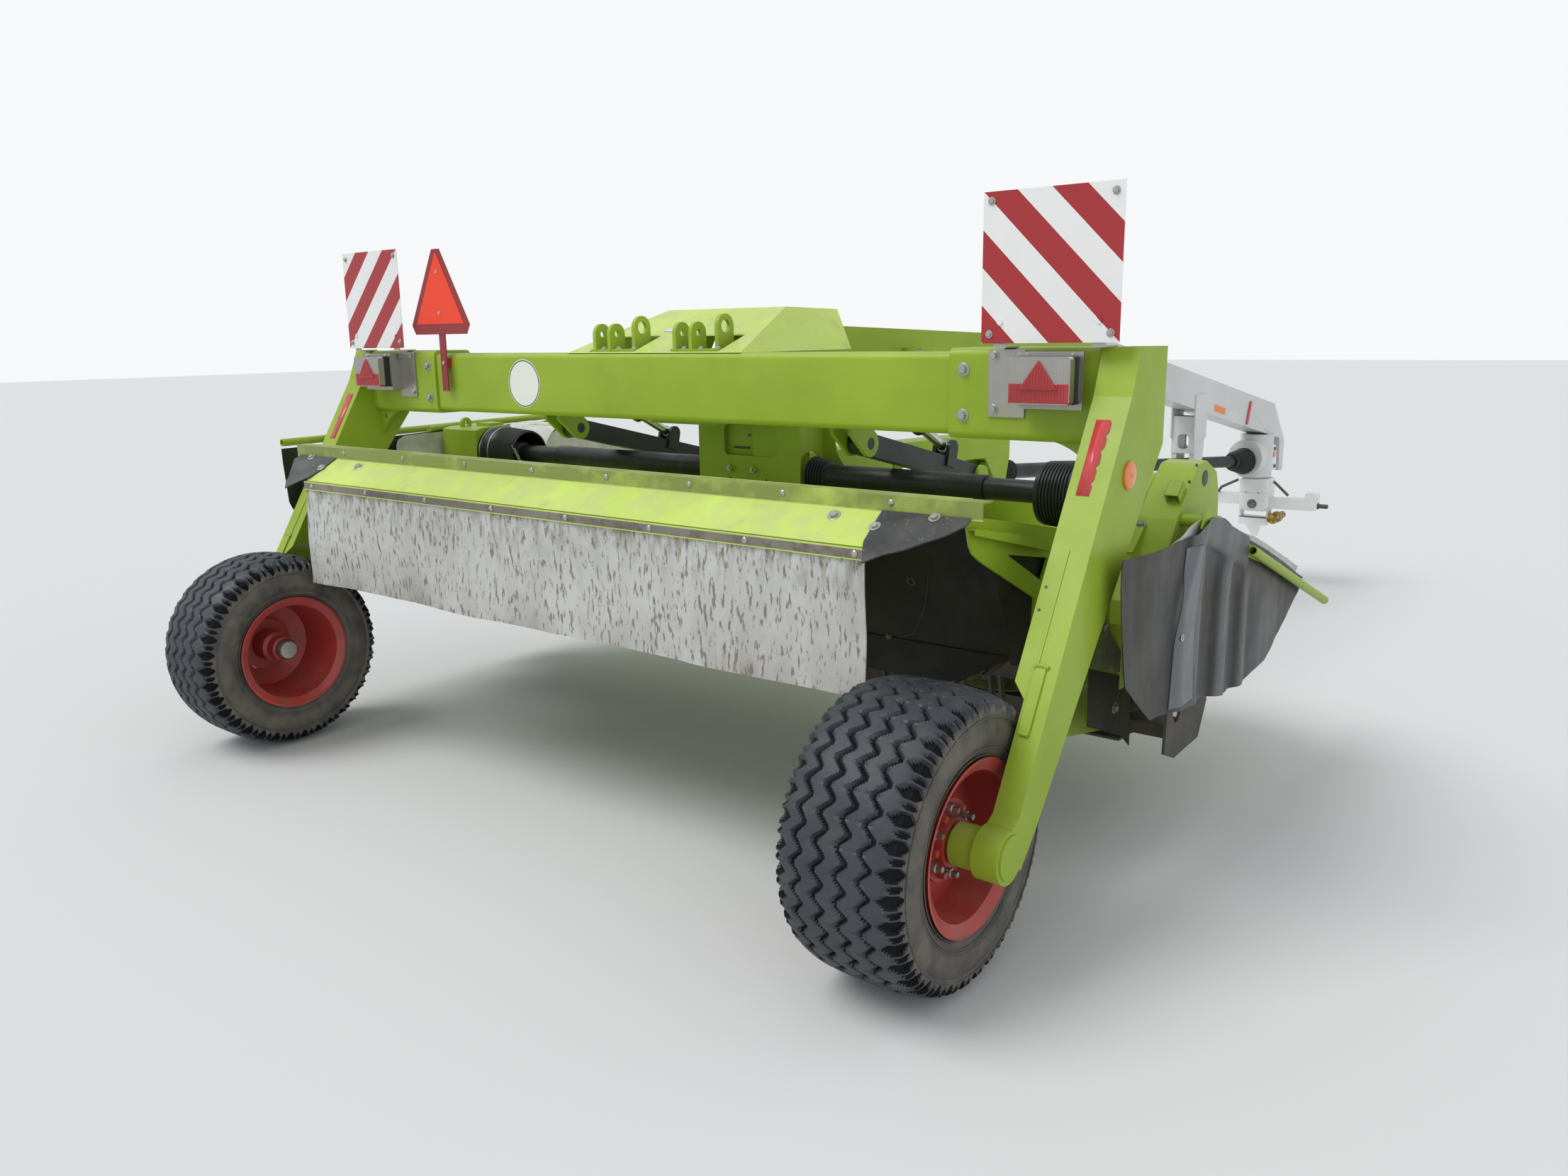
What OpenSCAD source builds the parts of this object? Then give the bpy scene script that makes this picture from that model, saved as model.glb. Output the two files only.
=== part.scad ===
// Trailed disc mower with a portal chassis, a conditioner and a centre-pivot drawbar.
// Parked with its cutting deck raised. X points right, Y forward and Z up, in millimetres.

/* [Main beam] */
// Height of the main beam
beam_h = 250; // [200:5:300]
// Depth of the main beam, front to back
beam_d = 178; // [150:1:210]
// Height of the beam's top above the ground
beam_top = 1630; // [1600:5:1660]
// Wall thickness of the beam and sleeves
beam_wall = 9; // [6:1:12]
// Distance from the middle to the end of the bare beam
beam_half = 1302; // [1250:1:1350]

/* [Legs and wheels] */
// Distance from the middle to a leg's outer face
leg_out = 1905; // [1895:1:1925]
// Width of a leg at the top
leg_w = 112; // [100:1:120]
// Distance from the middle to a wheel's middle plane
wheel_x = 1630; // [1615:1:1640]
// Distance from the beam's rear face back to the wheel axle
wheel_back = 707; // [690:1:730]
// Outer radius of a tyre
tyre_r = 403; // [380:1:415]
// Width of a tyre
tyre_w = 370; // [330:1:375]
// Radius of a rim at its flange
rim_r = 236; // [220:1:250]
// Radius of a stub axle
axle_r = 36; // [28:1:42]

/* [Drawbar] */
// Distance from the beam's rear face forward to the drawbar's pivot
pivot_y = 600; // [580:1:640]
// Radius of the pivot pin
pivot_pin_r = 42; // [35:1:50]
// Angle that the parked drawbar points to the right
swing_rest = 10.5; // [0:0.5:15]
// Width of the drawbar's box section
bar_w = 150; // [120:1:180]
// Wall of the drawbar's box section
bar_wall = 8; // [6:1:10]
// Length from the pivot to the hitch's swivel
bar_len = 4374; // [4300:2:4500]
// Height of the two lower-link pins above the ground
pin_z = 545; // [520:1:570]
// Distance between the shoulders of the two lower-link pins
yoke_w = 825; // [800:1:860]
// Radius of a lower-link pin
link_pin_r = 14.35; // [11:0.05:18.3]
// Length of a lower-link pin
link_pin_l = 62; // [50:1:80]

/* [Deck] */
// Number of cutting discs
disc_count = 9; // [7:2:9]
// Distance between two discs' axes
disc_pitch = 400; // [396:1:410]
// Radius that a knife's tip reaches
knife_reach = 212; // [205:1:216]
// Distance from the beam's rear face forward to the discs' axes
disc_y = 620; // [610:1:640]
// Height of the cutter bar's top
bar_top_z = 392; // [385:1:405]
// Distance from the middle to a deck cheek's outer face
cheek_out = 1626; // [1618:1:1632]
// Half length of the rear cover's ridge
ridge_half = 1682; // [1670:1:1690]
// Half width of the rear skirt
skirt_half = 1402; // [1380:1:1408]
// Height of the rear skirt
skirt_h = 430; // [380:5:450]
// Thickness of the deck's sheet metal
sheet = 5; // [3:1:8]

/* [Conditioner] */
// Radius of the conditioner's tube
tube_r = 95; // [80:1:110]
// Radius that the conditioner's tines reach
tine_reach = 250; // [235:1:262]
// Number of tine rows round the tube
tine_rows = 4; // [3:1:6]
// Number of tines in one row
tine_count = 22; // [16:1:26]

/* [Drive] */
// Radius of a cross shaft's outer guard tube
guard_r = 48; // [40:1:52]
// Radius of a cross shaft's inner guard tube
inner_guard_r = 40; // [34:1:42]
// Radius of the drawbar shaft's guard tube
main_guard_r = 39; // [34:1:40]
// Height of the cross shafts
shaft_z = 1140; // [1138:1:1145]
// Radius of a drive shaft's bellows
bellows_r = 76; // [66:1:84]

/* [Warning boards] */
// Side of a square warning board
board_s = 423; // [400:1:430]
// Distance from the middle to a board's inner edge
board_in = 1440; // [1430:1:1450]

/* [Clearances] */
// Gap between pieces that turn or slide on each other
run_gap = 1; // [0.5:0.1:2]
// Gap between pieces that seat on each other
seat = 0.3; // [0.2:0.1:0.5]
// Radial gap of a pin in its bore
pin_gap = 0.1; // [0.05:0.05:0.2]

/* [Hidden] */
$fn = 48;

lime = [0.56, 0.68, 0.10];
pale_lime = [0.80, 0.88, 0.45];
grey = [0.82, 0.83, 0.82];
black = [0.09, 0.09, 0.10];
dark_vinyl = [0.30, 0.31, 0.33];
zinc = [0.68, 0.68, 0.64];
canvas_white = [0.80, 0.80, 0.78];
red = [0.70, 0.12, 0.10];

// The hitch's swivel and the foremost point give the middle of the machine's length
hitch_x = bar_len * sin(swing_rest);
hitch_y = pivot_y + bar_len * cos(swing_rest);
yoke_fwd = 170;
nose_s = bar_len + 230;
nose_y = pivot_y + nose_s * cos(swing_rest) + bar_w / 2 * sin(swing_rest);
mid_y = (nose_y - wheel_back - tyre_r) / 2;
axle_z = tyre_r;
beam_bottom = beam_top - beam_h;

// Parallel lift linkage: rear pins on the frame, front pins on the deck
link_y = 300;
link_z = 1305;
link_len = 854;
link_rest = -13.5;
arm_x = 760;
link_pin = 22;
deck_pin = [link_y + link_len * cos(link_rest), link_z + link_len * sin(link_rest)];
upper_rise = 195;
upper_x = -450;

// Lift cylinders: barrel's eye on the beam, rod's eye above the lift arm
lift_x = arm_x;
lift_eye = [262, 1560];
lift_on = 600;
lift_up = 74;
lift_end = [link_y + lift_on * cos(link_rest) - lift_up * sin(link_rest),
  link_z + lift_on * sin(link_rest) + lift_up * cos(link_rest)];

// Swing cylinder: barrel's eye on the beam, rod's eye beside the drawbar
swing_eye = [930, 330];
swing_z = 1580;
swing_on = 900;
swing_off = 175;
swing_end = [swing_on * sin(swing_rest) + swing_off * cos(swing_rest),
  pivot_y + swing_on * cos(swing_rest) - swing_off * sin(swing_rest)];

// Side outline of the deck
ridge_y = -477;
ridge_z = 1252;
band_h = 45;
flange_y = -419;
panel_fall = 31.4;
panel_l = 154;
panel_y = ridge_y - panel_l * cos(panel_fall);
panel_z = ridge_z - band_h - panel_l * sin(panel_fall);
rotor_y = 100;
rotor_z = 700;
cheek_t = 8;
bar_depth = 176;
bar_t = 58;
cheek_in = cheek_out - cheek_t;
disc_span = disc_pitch * (disc_count - 1);
end_plate_x = 1880;
guard_x = 1985;
guard_pin = [420, 1108];
guard_slope = 19.5;

module place() translate([0, -mid_y, 0]) children();
module flip(s) { if (s > 0) { children(); } else { mirror([1, 0, 0]) children(); } }
// Outline drawn in Y and Z, thick along X
module along_x(x0, x1) translate([x0, 0, 0]) rotate([90, 0, 90]) linear_extrude(x1 - x0) children();
// Outline drawn in X and Z, thick along Y
module along_y(y0, y1) translate([0, y1, 0]) rotate([90, 0, 0]) linear_extrude(y1 - y0) children();
module rod_x(x0, x1, r, y, z) translate([x0, y, z]) rotate([0, 90, 0]) cylinder(h = x1 - x0, r = r);
module rod_y(y0, y1, r, x, z) translate([x, y0, z]) rotate([-90, 0, 0]) cylinder(h = y1 - y0, r = r);
module rod_z(z0, z1, r, x, y) translate([x, y, z0]) cylinder(h = z1 - z0, r = r);
module rod(p, q, r) {
  v = q - p;
  translate(p) rotate([0, acos(v.z / norm(v)), atan2(v.y, v.x)]) cylinder(h = norm(v), r = r);
}
module box(x0, x1, y0, y1, z0, z1) translate([x0, y0, z0]) cube([x1 - x0, y1 - y0, z1 - z0]);
module rounded(w, h, r) {
  translate([r, 0]) square([w - 2 * r, h]);
  translate([0, r]) square([w, h - 2 * r]);
  for (x = [r, w - r]) for (y = [r, h - r]) translate([x, y]) circle(r);
}
module on_drawbar() translate([0, pivot_y, 0]) rotate([0, 0, -swing_rest]) children();

// Main beam: a hollow tube that runs into the legs' sleeves, with the linkage's brackets
beam_end = beam_half + 190;
bracket_t = 16;
module bracket_yz(x, gap, z_low, reach, r, hole) {
  for (s = [-1, 1]) difference() {
    along_x(x + s * (gap + bracket_t) / 2 - bracket_t / 2, x + s * (gap + bracket_t) / 2 + bracket_t / 2) {
      translate([beam_d, z_low - r]) square([reach - beam_d, 2 * r]);
      translate([reach, z_low]) circle(r);
    }
    rod_x(x + s * (gap + bracket_t) / 2 - bracket_t, x + s * (gap + bracket_t) / 2 + bracket_t, hole, reach, z_low);
  }
}
arm_w = 60;
eye_w = 44;
link_bracket_r = 48;
module main_beam() place() color(lime) {
  difference() {
    along_x(-beam_end, beam_end) translate([0, beam_bottom]) rounded(beam_d, beam_h, 22);
    along_x(-beam_end - 1, beam_end + 1) translate([beam_wall, beam_bottom + beam_wall])
      rounded(beam_d - 2 * beam_wall, beam_h - 2 * beam_wall, 14);
  }
  for (s = [-1, 1]) {
    bracket_yz(s * lift_x, eye_w + 2 * run_gap, lift_eye.y, lift_eye.x, 34, 16);
    link_hanger(s * arm_x, arm_w, link_z, 90);
  }
  link_hanger(upper_x, eye_w, link_z + upper_rise, 0);
  swing_bracket();
}
// Two plates ahead of the beam that hold a link's rear pin
module link_hanger(x, w, z, drop) {
  for (s = [-1, 1]) difference() {
    along_x(x + s * (w / 2 + run_gap + bracket_t / 2) - bracket_t / 2,
      x + s * (w / 2 + run_gap + bracket_t / 2) + bracket_t / 2) {
      polygon([[beam_d, z - link_bracket_r + drop], [beam_d, z + link_bracket_r + 2 * drop],
        [link_y + 24, z + link_bracket_r - 8], [link_y - 30, z - link_bracket_r + 10]]);
      translate([link_y, z]) circle(link_bracket_r);
    }
    rod_x(x - w, x + w, link_pin + pin_gap, link_y, z);
  }
}
swing_gap = 50;
eye_r = 48;
module swing_bracket() for (z = [swing_z - swing_gap / 2 - run_gap - bracket_t, swing_z + swing_gap / 2 + run_gap])
  difference() {
    translate([0, 0, z]) linear_extrude(bracket_t) {
      translate([swing_eye.x - 70, beam_d]) square([140, swing_eye.y - beam_d - 20]);
      translate(swing_eye) circle(eye_r);
    }
    rod_z(z - 1, z + bracket_t + 1, 16, swing_eye.x, swing_eye.y);
  }

// Round-topped lugs with eyes on the beam's top, in two groups beside the hood
lug_x = 213;
module lug(x, y, r, top, hole) difference() {
  along_x(x - 8, x + 8) {
    translate([y - r, beam_top + seat]) square([2 * r, top - r - beam_top - seat]);
    translate([y, top - r]) circle(r);
  }
  rod_x(x - 9, x + 9, hole, y, top - r);
}
module lug_brackets() place() color(lime) for (g = [-1, 1]) {
  box(g * lug_x - 118, g * lug_x + 118, 30, 165, beam_top + seat, beam_top + 14);
  // Rows: offset in X, place in Y, radius, top height and hole radius
  for (l = [[-96, 68, 40, 1741, 13], [-16, 68, 40, 1741, 13], [70, 120, 44, 1768, 24]])
    lug(g * lug_x + l[0], l[1], l[2], l[3], l[4]);
}

// Legs: folded box sections that run back and down to the stub axles
leg_in = leg_out - leg_w;
leg_step = 1832;
step_z = 752;
sleeve_top = beam_top + 13;
sleeve_low = beam_bottom - 10;
sleeve_y0 = -beam_wall;
sleeve_y1 = beam_d + beam_wall;
leg_bend_z = 1365;
module leg_outline() {
  polygon([[sleeve_y0, sleeve_top], [sleeve_y1, sleeve_top], [sleeve_y1, leg_bend_z], [-563, 432],
    [-wheel_back + 60, axle_z - 58], [-wheel_back - 60, axle_z + 30], leg_low, leg_top]);
  translate([-wheel_back, axle_z]) circle(72);
}
axle_flange = 58;
hub_x = wheel_x + 84;
leg_top = [-59, 1510];
leg_low = [-663, 491];
leg_dir = (leg_low - leg_top) / norm(leg_low - leg_top);
function leg_at(d, h) = leg_top + d * leg_dir + h * [leg_dir.y, -leg_dir.x];
module leg_strip(x0, x1, d0, d1, t) along_x(x0, x1)
  polygon([leg_at(d0, -1), leg_at(d1, -1), leg_at(d1, t), leg_at(d0, t)]);
module leg_body() {
  difference() {
    along_x(leg_in, leg_out) leg_outline();
    along_y(-wheel_back - 200, leg_in) polygon([[leg_in - 1, 0], [leg_step, 0], [leg_step, step_z],
      [leg_in - 1, step_z + leg_step - leg_in]]);
  }
  along_x(leg_out, leg_out + 5) translate([-wheel_back, axle_z]) circle(axle_flange);
  // Weld line and raised plate on the rear face
  leg_strip(1841, 1847, 459, 780, 2.5);
  leg_strip(1842, 1872, 787, 972, 6);
  difference() {
    along_x(beam_half, leg_in + 1) translate([sleeve_y0, sleeve_low])
      rounded(sleeve_y1 - sleeve_y0, sleeve_top - sleeve_low, 24);
    along_x(beam_half - 1, beam_end + 2) translate([-seat, beam_bottom - seat])
      rounded(beam_d + 2 * seat, beam_h + 2 * seat, 22 + seat);
  }
  // Gusset with a round hole under the corner of sleeve and leg
  difference() {
    along_y(20, 32) polygon([[1540, sleeve_low + 2], [leg_in + 2, sleeve_low + 2], [leg_in + 2, 1262]]);
    rod_y(19, 33, 225, 1588, 1152);
    rod_y(19, 33, 12, 1752, 1342);
  }
  rod_x(hub_x + 44, leg_step + 1, axle_flange, -wheel_back, axle_z);
  rod_x(wheel_x - 58, hub_x + 45, axle_r, -wheel_back, axle_z);
}
module leg_left() place() color(lime) flip(-1) leg_body();
module leg_right() place() color(lime) flip(1) leg_body();

// Pivot housing: two plates and two walls ahead of the beam, the pivot pin and the gearbox shield
house_w = 330;
house_top = 1470;
house_low = 1355;
pin_top = 1765;
pin_low = 1062;
shield_y = 492;
shield_x0 = -190;
shield_x1 = 346;
shield_low = 1052;
shield_top = house_low + 20;
shield_step = 1240;
gusset_y = 640;
gear_r = 62;
shaft_hole = 92;
head_near = 100;
head_left = 166;
head_right = 322;
module pivot_housing() place() color(lime) {
  for (z = [house_low, house_top]) difference() {
    translate([0, 0, z]) linear_extrude(20) {
      translate([-house_w / 2, beam_d + seat]) square([house_w, pivot_y - beam_d - seat]);
      translate([0, pivot_y]) circle(house_w / 4);
      translate([-house_w / 2, pivot_y - 60]) square([house_w, 60]);
    }
  }
  for (s = [-1, 1]) along_x(s * (house_w / 2 - 7) - 7, s * (house_w / 2 - 7) + 7)
    polygon([[beam_d + seat, house_low], [pivot_y, house_low], [pivot_y, house_top + 19], [beam_d + seat, house_top + 19]]);
  rod_z(pin_low, pin_top, pivot_pin_r, 0, pivot_y);
  // Shield with a window, two slots and a wall that the right shaft passes through
  difference() {
    box(shield_x0, shield_x1, shield_y - 8, shield_y, shield_low, shield_top);
    along_y(shield_y - 9, shield_y + 1) translate([-50, 1208]) rounded(274, 124, 22);
    for (x = [-21, 172]) box(x - 5, x + 5, shield_y - 9, shield_y + 1, 1088, 1118);
  }
  difference() {
    box(shield_x1 - 8, shield_x1, shield_y - 1, shaft_y + shaft_hole + 14, shaft_z, shield_top);
    rod_x(shield_x1 - 9, shield_x1 + 1, shaft_hole, shaft_y, shaft_z);
  }
  box(shield_x0, shield_x0 + 8, shield_y - 1, 560, shield_step, shield_top);
  // Gusset with a curved edge beside the right shaft
  along_y(gusset_y, gusset_y + 8) difference() {
    translate([shield_x1 - 1, shaft_z + 10]) square([155, shield_top - shaft_z - 10]);
    translate([shield_x1 + 217, shaft_z + 150]) circle(162);
  }
  for (x = [-8, 114]) rod_y(shield_y - 26, shield_y - 7, 13, x, 1154);
  // Gearbox heads for the two cross shafts, hung from the lower plate beside the pivot
  for (h = [[-head_left, -head_near], [head_near, head_right]]) {
    rod_x(h[0], h[1], gear_r, shaft_y, shaft_z);
    box(h[0], h[1], shield_y - 1, shaft_y + 30, shaft_z, house_low + 1);
  }
}

// Hood over the pivot: a hipped sheet cover
hood_low = beam_top + seat;
module hood_solid(d) {
  polyhedron(
    points = [[-450 + d, 9 + d, hood_low], [450 - d, 9 + d, hood_low], [450 - d, 690 - d, hood_low],
      [-450 + d, 690 - d, hood_low], [-309 + d, 453 + d / 2, 1795 - d], [309 - d, 453 + d / 2, 1795 - d],
      [309 - d, 790 - d, 1788 - d], [-309 + d, 790 - d, 1788 - d]],
    faces = [[0, 1, 2, 3], [4, 7, 6, 5], [0, 4, 5, 1], [1, 5, 6, 2], [2, 6, 7, 3], [3, 7, 4, 0]]);
}
module pivot_hood() place() color(pale_lime) difference() {
  hood_solid(0);
  translate([0, 0, -1]) hood_solid(4);
  box(-290, 290, 600, 800, hood_low - 1, 1775);
  for (g = [-1, 1]) box(g * lug_x - 124, g * lug_x + 124, 20, 176, hood_low - 1, 1800);
}

// Striped warning boards on folded strips
board_y = -62;
board_z = 1656;
board_out = board_in + board_s;
module board() {
  box(board_in, board_out, board_y - 2, board_y, board_z, board_z + board_s);
  for (x = [board_in + 60, board_out - 60]) {
    box(x - 20, x + 20, board_y + seat, board_y + 5, sleeve_top + seat, board_z + board_s - 30);
    box(x - 20, x + 20, board_y + seat, sleeve_y0 + 34, sleeve_top + seat, board_z - 8);
    rod_y(board_y - 6, board_y + 1, 9, x, board_z + 60);
  }
}
module board_left() place() color("white") flip(-1) board();
module board_right() place() color("white") flip(1) board();

// Tail lamps on zinc-plated brackets
module lamp_plate() difference() {
  union() {
    box(1440, 1560, sleeve_y0 - 6 - seat, sleeve_y0 - seat, 1440, 1638);
    box(1556, 1760, -60, -54, 1470, 1632);
    box(1556, 1562, -60, sleeve_y0 - seat, 1470, 1632);
  }
}
module lamp_body() {
  along_y(-122, -60 - seat) translate([1560, 1487]) rounded(190, 132, 12);
}
module lamp_left() place() flip(-1) { color(zinc) lamp_plate(); color(red) lamp_body(); }
module lamp_right() place() flip(1) { color(zinc) lamp_plate(); color(red) lamp_body(); }

// Slow-vehicle sign: a triangle with cut corners on a post
sign_x = -1210;
module slow_sign() place() {
  color("orangered") along_y(-30, -27) translate([sign_x, 1712])
    polygon([[-203, 40], [-180, 0], [180, 0], [203, 40], [26, 356], [-26, 356]]);
  color(zinc) box(sign_x - 20, sign_x + 20, -27 + seat, -20, beam_bottom + 90, 1990);
  color(zinc) box(sign_x - 20, sign_x + 20, -21, -seat, beam_top - 60, beam_top - 20);
}

// Wheels: tyre by revolving a rounded section, rim with a dished centre and hub
function tyre_pt(a) = [tyre_r - 95 + 95 * pow(abs(cos(a)), 0.55), tyre_w / 2 * sign(sin(a)) * pow(abs(sin(a)), 0.7)];
bead_r = 214;
bead_w = 322;
module tyre() translate([wheel_x, -wheel_back, axle_z]) rotate([0, 90, 0]) rotate_extrude($fn = 72)
  polygon(concat([[bead_r, -bead_w / 2 + 12], [bead_r + 24, -bead_w / 2], [tyre_r - 118, -tyre_w / 2 + 6]],
    [for (a = [-80:20:80]) tyre_pt(a)],
    [[tyre_r - 118, tyre_w / 2 - 6], [bead_r + 24, bead_w / 2], [bead_r, bead_w / 2 - 12]]));
module tyre_left() place() color(black) flip(-1) tyre();
module tyre_right() place() color(black) flip(1) tyre();
rim_t = 8;
module rim() translate([wheel_x, -wheel_back, axle_z]) rotate([0, 90, 0]) {
  color(red) rotate_extrude() polygon([[rim_r, -rim_face], [bead_r - seat, -rim_face + 14], [bead_r - seat, rim_face - 14],
    [rim_r, rim_face], [rim_r - rim_t, rim_face], [bead_r - 14, rim_face - 16], [bead_r - 30, 62], [140, 76], [112, 84],
    [112, 74], [138, 64], [bead_r - 36, 50], [bead_r - 14, -rim_face + 16], [rim_r - rim_t, -rim_face]]);
  color(lime) difference() {
    rotate_extrude() polygon([[0, -96], [44, -96], [52, -88], [52, -40], [66, -30], [66, 60], [111, 62], [111, 94],
      [66, 94], [66, 118], [0, 118]]);
    translate([0, 0, -59]) cylinder(h = 200, r = axle_r + pin_gap);
    translate([0, 0, 40]) cylinder(h = 90, r = axle_r + 12);
  }
  color(zinc) for (a = [30:60:330]) rotate(a) translate([89, 0, 93]) cylinder(h = 26, r = 10);
}
rim_face = 180;
module rim_left() place() flip(-1) rim();
module rim_right() place() flip(1) rim();

// Drawbar's rear part: a fork whose two arms turn on the pivot pin
arm_top0 = 1738;
arm_top1 = 1643;
bend_s = 2450;
arm_h = 210;
low_top = 1190;
low_bot = 1075;
low_end = 1640;
tower_s = 1430;
boss_r = 85;
module drawbar_rear() place() on_drawbar() color(lime) {
  difference() {
    union() {
      along_x(-bar_w / 2, bar_w / 2) polygon([[60, arm_top0], [bend_s, arm_top1], [bend_s, arm_top1 - arm_h],
        [60, arm_top0 - arm_h]]);
      rod_z(arm_top0 - arm_h, arm_top0, boss_r, 0, 0);
    }
    rod_z(arm_top0 - arm_h - 1, arm_top0 + 1, pivot_pin_r + pin_gap, 0, 0);
    along_x(-bar_w / 2 + bar_wall, bar_w / 2 - bar_wall) polygon([[130, arm_top0 - 14], [bend_s + 1, arm_top1 - bar_wall],
      [bend_s + 1, arm_top1 - arm_h + bar_wall], [130, arm_top0 - arm_h + 10]]);
  }
  difference() {
    union() {
      box(-bar_w / 2, bar_w / 2, 60, low_end, low_bot, low_top);
      rod_z(low_bot, low_top, boss_r, 0, 0);
    }
    rod_z(low_bot - 1, low_top + 1, pivot_pin_r + pin_gap, 0, 0);
    box(-bar_w / 2 + bar_wall, bar_w / 2 - bar_wall, 130, low_end - 10, low_bot + bar_wall, low_top - bar_wall);
  }
  for (s = [-1, 1]) along_x(s * (bar_w / 2 - 5) - 5, s * (bar_w / 2 - 5) + 5)
    polygon([[tower_s, low_top - 1], [low_end, low_top - 1], [low_end, 1490], [tower_s - 60, 1495]]);
  swing_ear();
}
// Hanger below the fork's lower arm, with the rear bearing of the drawbar's shaft
module shaft_hanger() place() on_drawbar() color(lime) {
  box(-bar_w / 2, bar_w / 2, low_end - 190, low_end, low_bot - seat - 10, low_bot - seat);
  for (s = [-1, 1]) along_x(s * (bar_w / 2 - 5) - 5, s * (bar_w / 2 - 5) + 5)
    polygon([[low_end - 190, low_bot - seat - 1], [low_end, low_bot - seat - 1], [low_end - 30, bearing_z - 60],
      [low_end - 90, bearing_z - 60]]);
  rod_y(bearing_s - bearing_half, bearing_s + bearing_half, bearing_r, 0, bearing_z);
  for (s = [-1, 1]) box(s * 60 - 6, s * 60 + 6, bearing_s - 20, bearing_s + 20, bearing_z - 20, bearing_z + 20);
}
module swing_ear() for (z = [swing_z - swing_gap / 2 - run_gap - bracket_t, swing_z + swing_gap / 2 + run_gap])
  difference() {
    translate([0, 0, z]) linear_extrude(bracket_t) {
      translate([bar_w / 2 - 1, swing_on - 60]) square([swing_off - bar_w / 2 - 14, 120]);
      translate([swing_off, swing_on]) circle(38);
    }
    rod_z(z - 1, z + bracket_t + 1, 16, swing_off, swing_on);
  }

// Drawbar's front part: a box that slopes down to the head, with the stand's sleeve
front_top = 1196;
head_s = bar_len;
front_end = head_s + 60;
front_h = 205;
head_r = 105;
head_low = 716;
spigot_r = 45;
stand_s = head_s - 930;
sleeve_w = 156;
sleeve_dd = 96;
module drawbar_front() place() on_drawbar() color(grey) {
  difference() {
    union() {
      along_x(-bar_w / 2, bar_w / 2) polygon([[bend_s + seat, arm_top1], [front_end, front_top], [nose_s, front_top - 250],
        [nose_s, 745], [front_end + 120, 745], [front_end + 100, front_top - 230],
        [front_end - 20, front_top - front_h], [bend_s + seat, arm_top1 - arm_h]]);
      rod_z(head_low + 90, 1000, head_r, 0, head_s);
    }
    along_x(-bar_w / 2 + bar_wall, bar_w / 2 - bar_wall) polygon([[bend_s - 1, arm_top1 - bar_wall],
      [front_end - 60, front_top + 4], [front_end - 60, front_top - front_h + 26], [bend_s - 1, arm_top1 - arm_h + bar_wall]]);
  }
  // Upper gearbox with a round cover that faces the shaft
  rod_z(head_low, head_low + 91, head_r, 0, head_s);
  rod_z(head_low - 50, head_low + 1, spigot_r, 0, head_s);
  rod_y(head_s - 150, head_s - 60, 118, 0, 850);
  stand_sleeve();
}
// Sleeve: two pockets beside the shaft, joined by plates with an obround window
leg_n0 = 47.5;
leg_n1 = sleeve_w / 2 - 4.5;
pocket_t = 3.5;
pocket_n0 = leg_n0 - run_gap - pocket_t;
pocket_low = 790;
window_z = 967;
module stand_sleeve() {
  for (s = [-1, 1]) flip(s) difference() {
    box(pocket_n0, sleeve_w / 2, stand_s, stand_s + sleeve_dd, pocket_low, 1150);
    box(leg_n0 - run_gap, leg_n1 + run_gap, stand_s + pocket_t, stand_s + sleeve_dd - pocket_t, pocket_low - 1, 1151);
  }
  for (y = [stand_s - 6, stand_s + sleeve_dd - 1]) difference() {
    box(-sleeve_w / 2, sleeve_w / 2, y, y + 7, 940, 1165);
    along_y(y - 1, y + 8) translate([-38, window_z]) rounded(76, 90, 30);
  }
  for (s = [-1, 1]) along_x(s * (bar_w / 2 + 3) - 4, s * (bar_w / 2 + 3) + 4)
    polygon([[stand_s - 20, 1030], [stand_s + sleeve_dd + 20, 1030], [stand_s + sleeve_dd + 20, 1300], [stand_s - 20, 1300]]);
}
foot_t = 24;
module stand_leg() place() on_drawbar() color(grey) {
  for (s = [-1, 1]) flip(s)
    box(leg_n0, leg_n1, stand_s + pocket_t + run_gap, stand_s + sleeve_dd - pocket_t - run_gap, foot_t - 1, 960);
  box(-130, 130, stand_s - 40, stand_s + sleeve_dd + 40, 0, foot_t);
}

// Drive shaft in its guard tubes below the drawbar
bearing_s = low_end - 60;
bearing_half = 44;
bearing_r = 56;
bearing_z = 985;
shaft_p0 = [0, bearing_s + 50, bearing_z];
shaft_p1 = [0, head_s - 158, 850];
module drawbar_shaft() place() on_drawbar() color(black) {
  rod(shaft_p0, shaft_p1, main_guard_r);
  rod(shaft_p1 + [0, -110, 5], shaft_p1, bellows_r);
  rod(shaft_p0, shaft_p0 + [0, 110, -5], bellows_r);
  rod_y(bearing_s + bearing_half, shaft_p0.y + 20, 18, 0, bearing_z);
  rod_y(shaft_p1.y - 20, head_s - 150, 18, 0, 850);
}

// Swing cylinder between beam and drawbar
swing_v = swing_end - swing_eye;
swing_len = norm(swing_v);
swing_a = atan2(swing_v.y, swing_v.x);
swing_tube = 820;
module swing_line() translate([swing_eye.x, swing_eye.y, swing_z]) rotate([0, 0, swing_a]) children();
module swing_barrel() place() swing_line() color(black) {
  difference() {
    union() {
      rod_x(eye_r + 12, swing_tube, 40, 0, 0);
      rod_x(eye_r - 8, eye_r + 13, swing_gap / 2 - 2, 0, 0);
      rod_z(-swing_gap / 2, swing_gap / 2, 42, 0, 0);
    }
    rod_x(90, swing_tube + 1, 20 + pin_gap, 0, 0);
  }
  rod_z(-swing_gap / 2 - bracket_t, swing_gap / 2 + bracket_t, 16 - pin_gap, 0, 0);
}
module swing_rod() place() swing_line() color(zinc) {
  rod_x(360, swing_len - 30, 20, 0, 0);
  rod_z(-swing_gap / 2, swing_gap / 2, 38, swing_len, 0);
}

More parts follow.
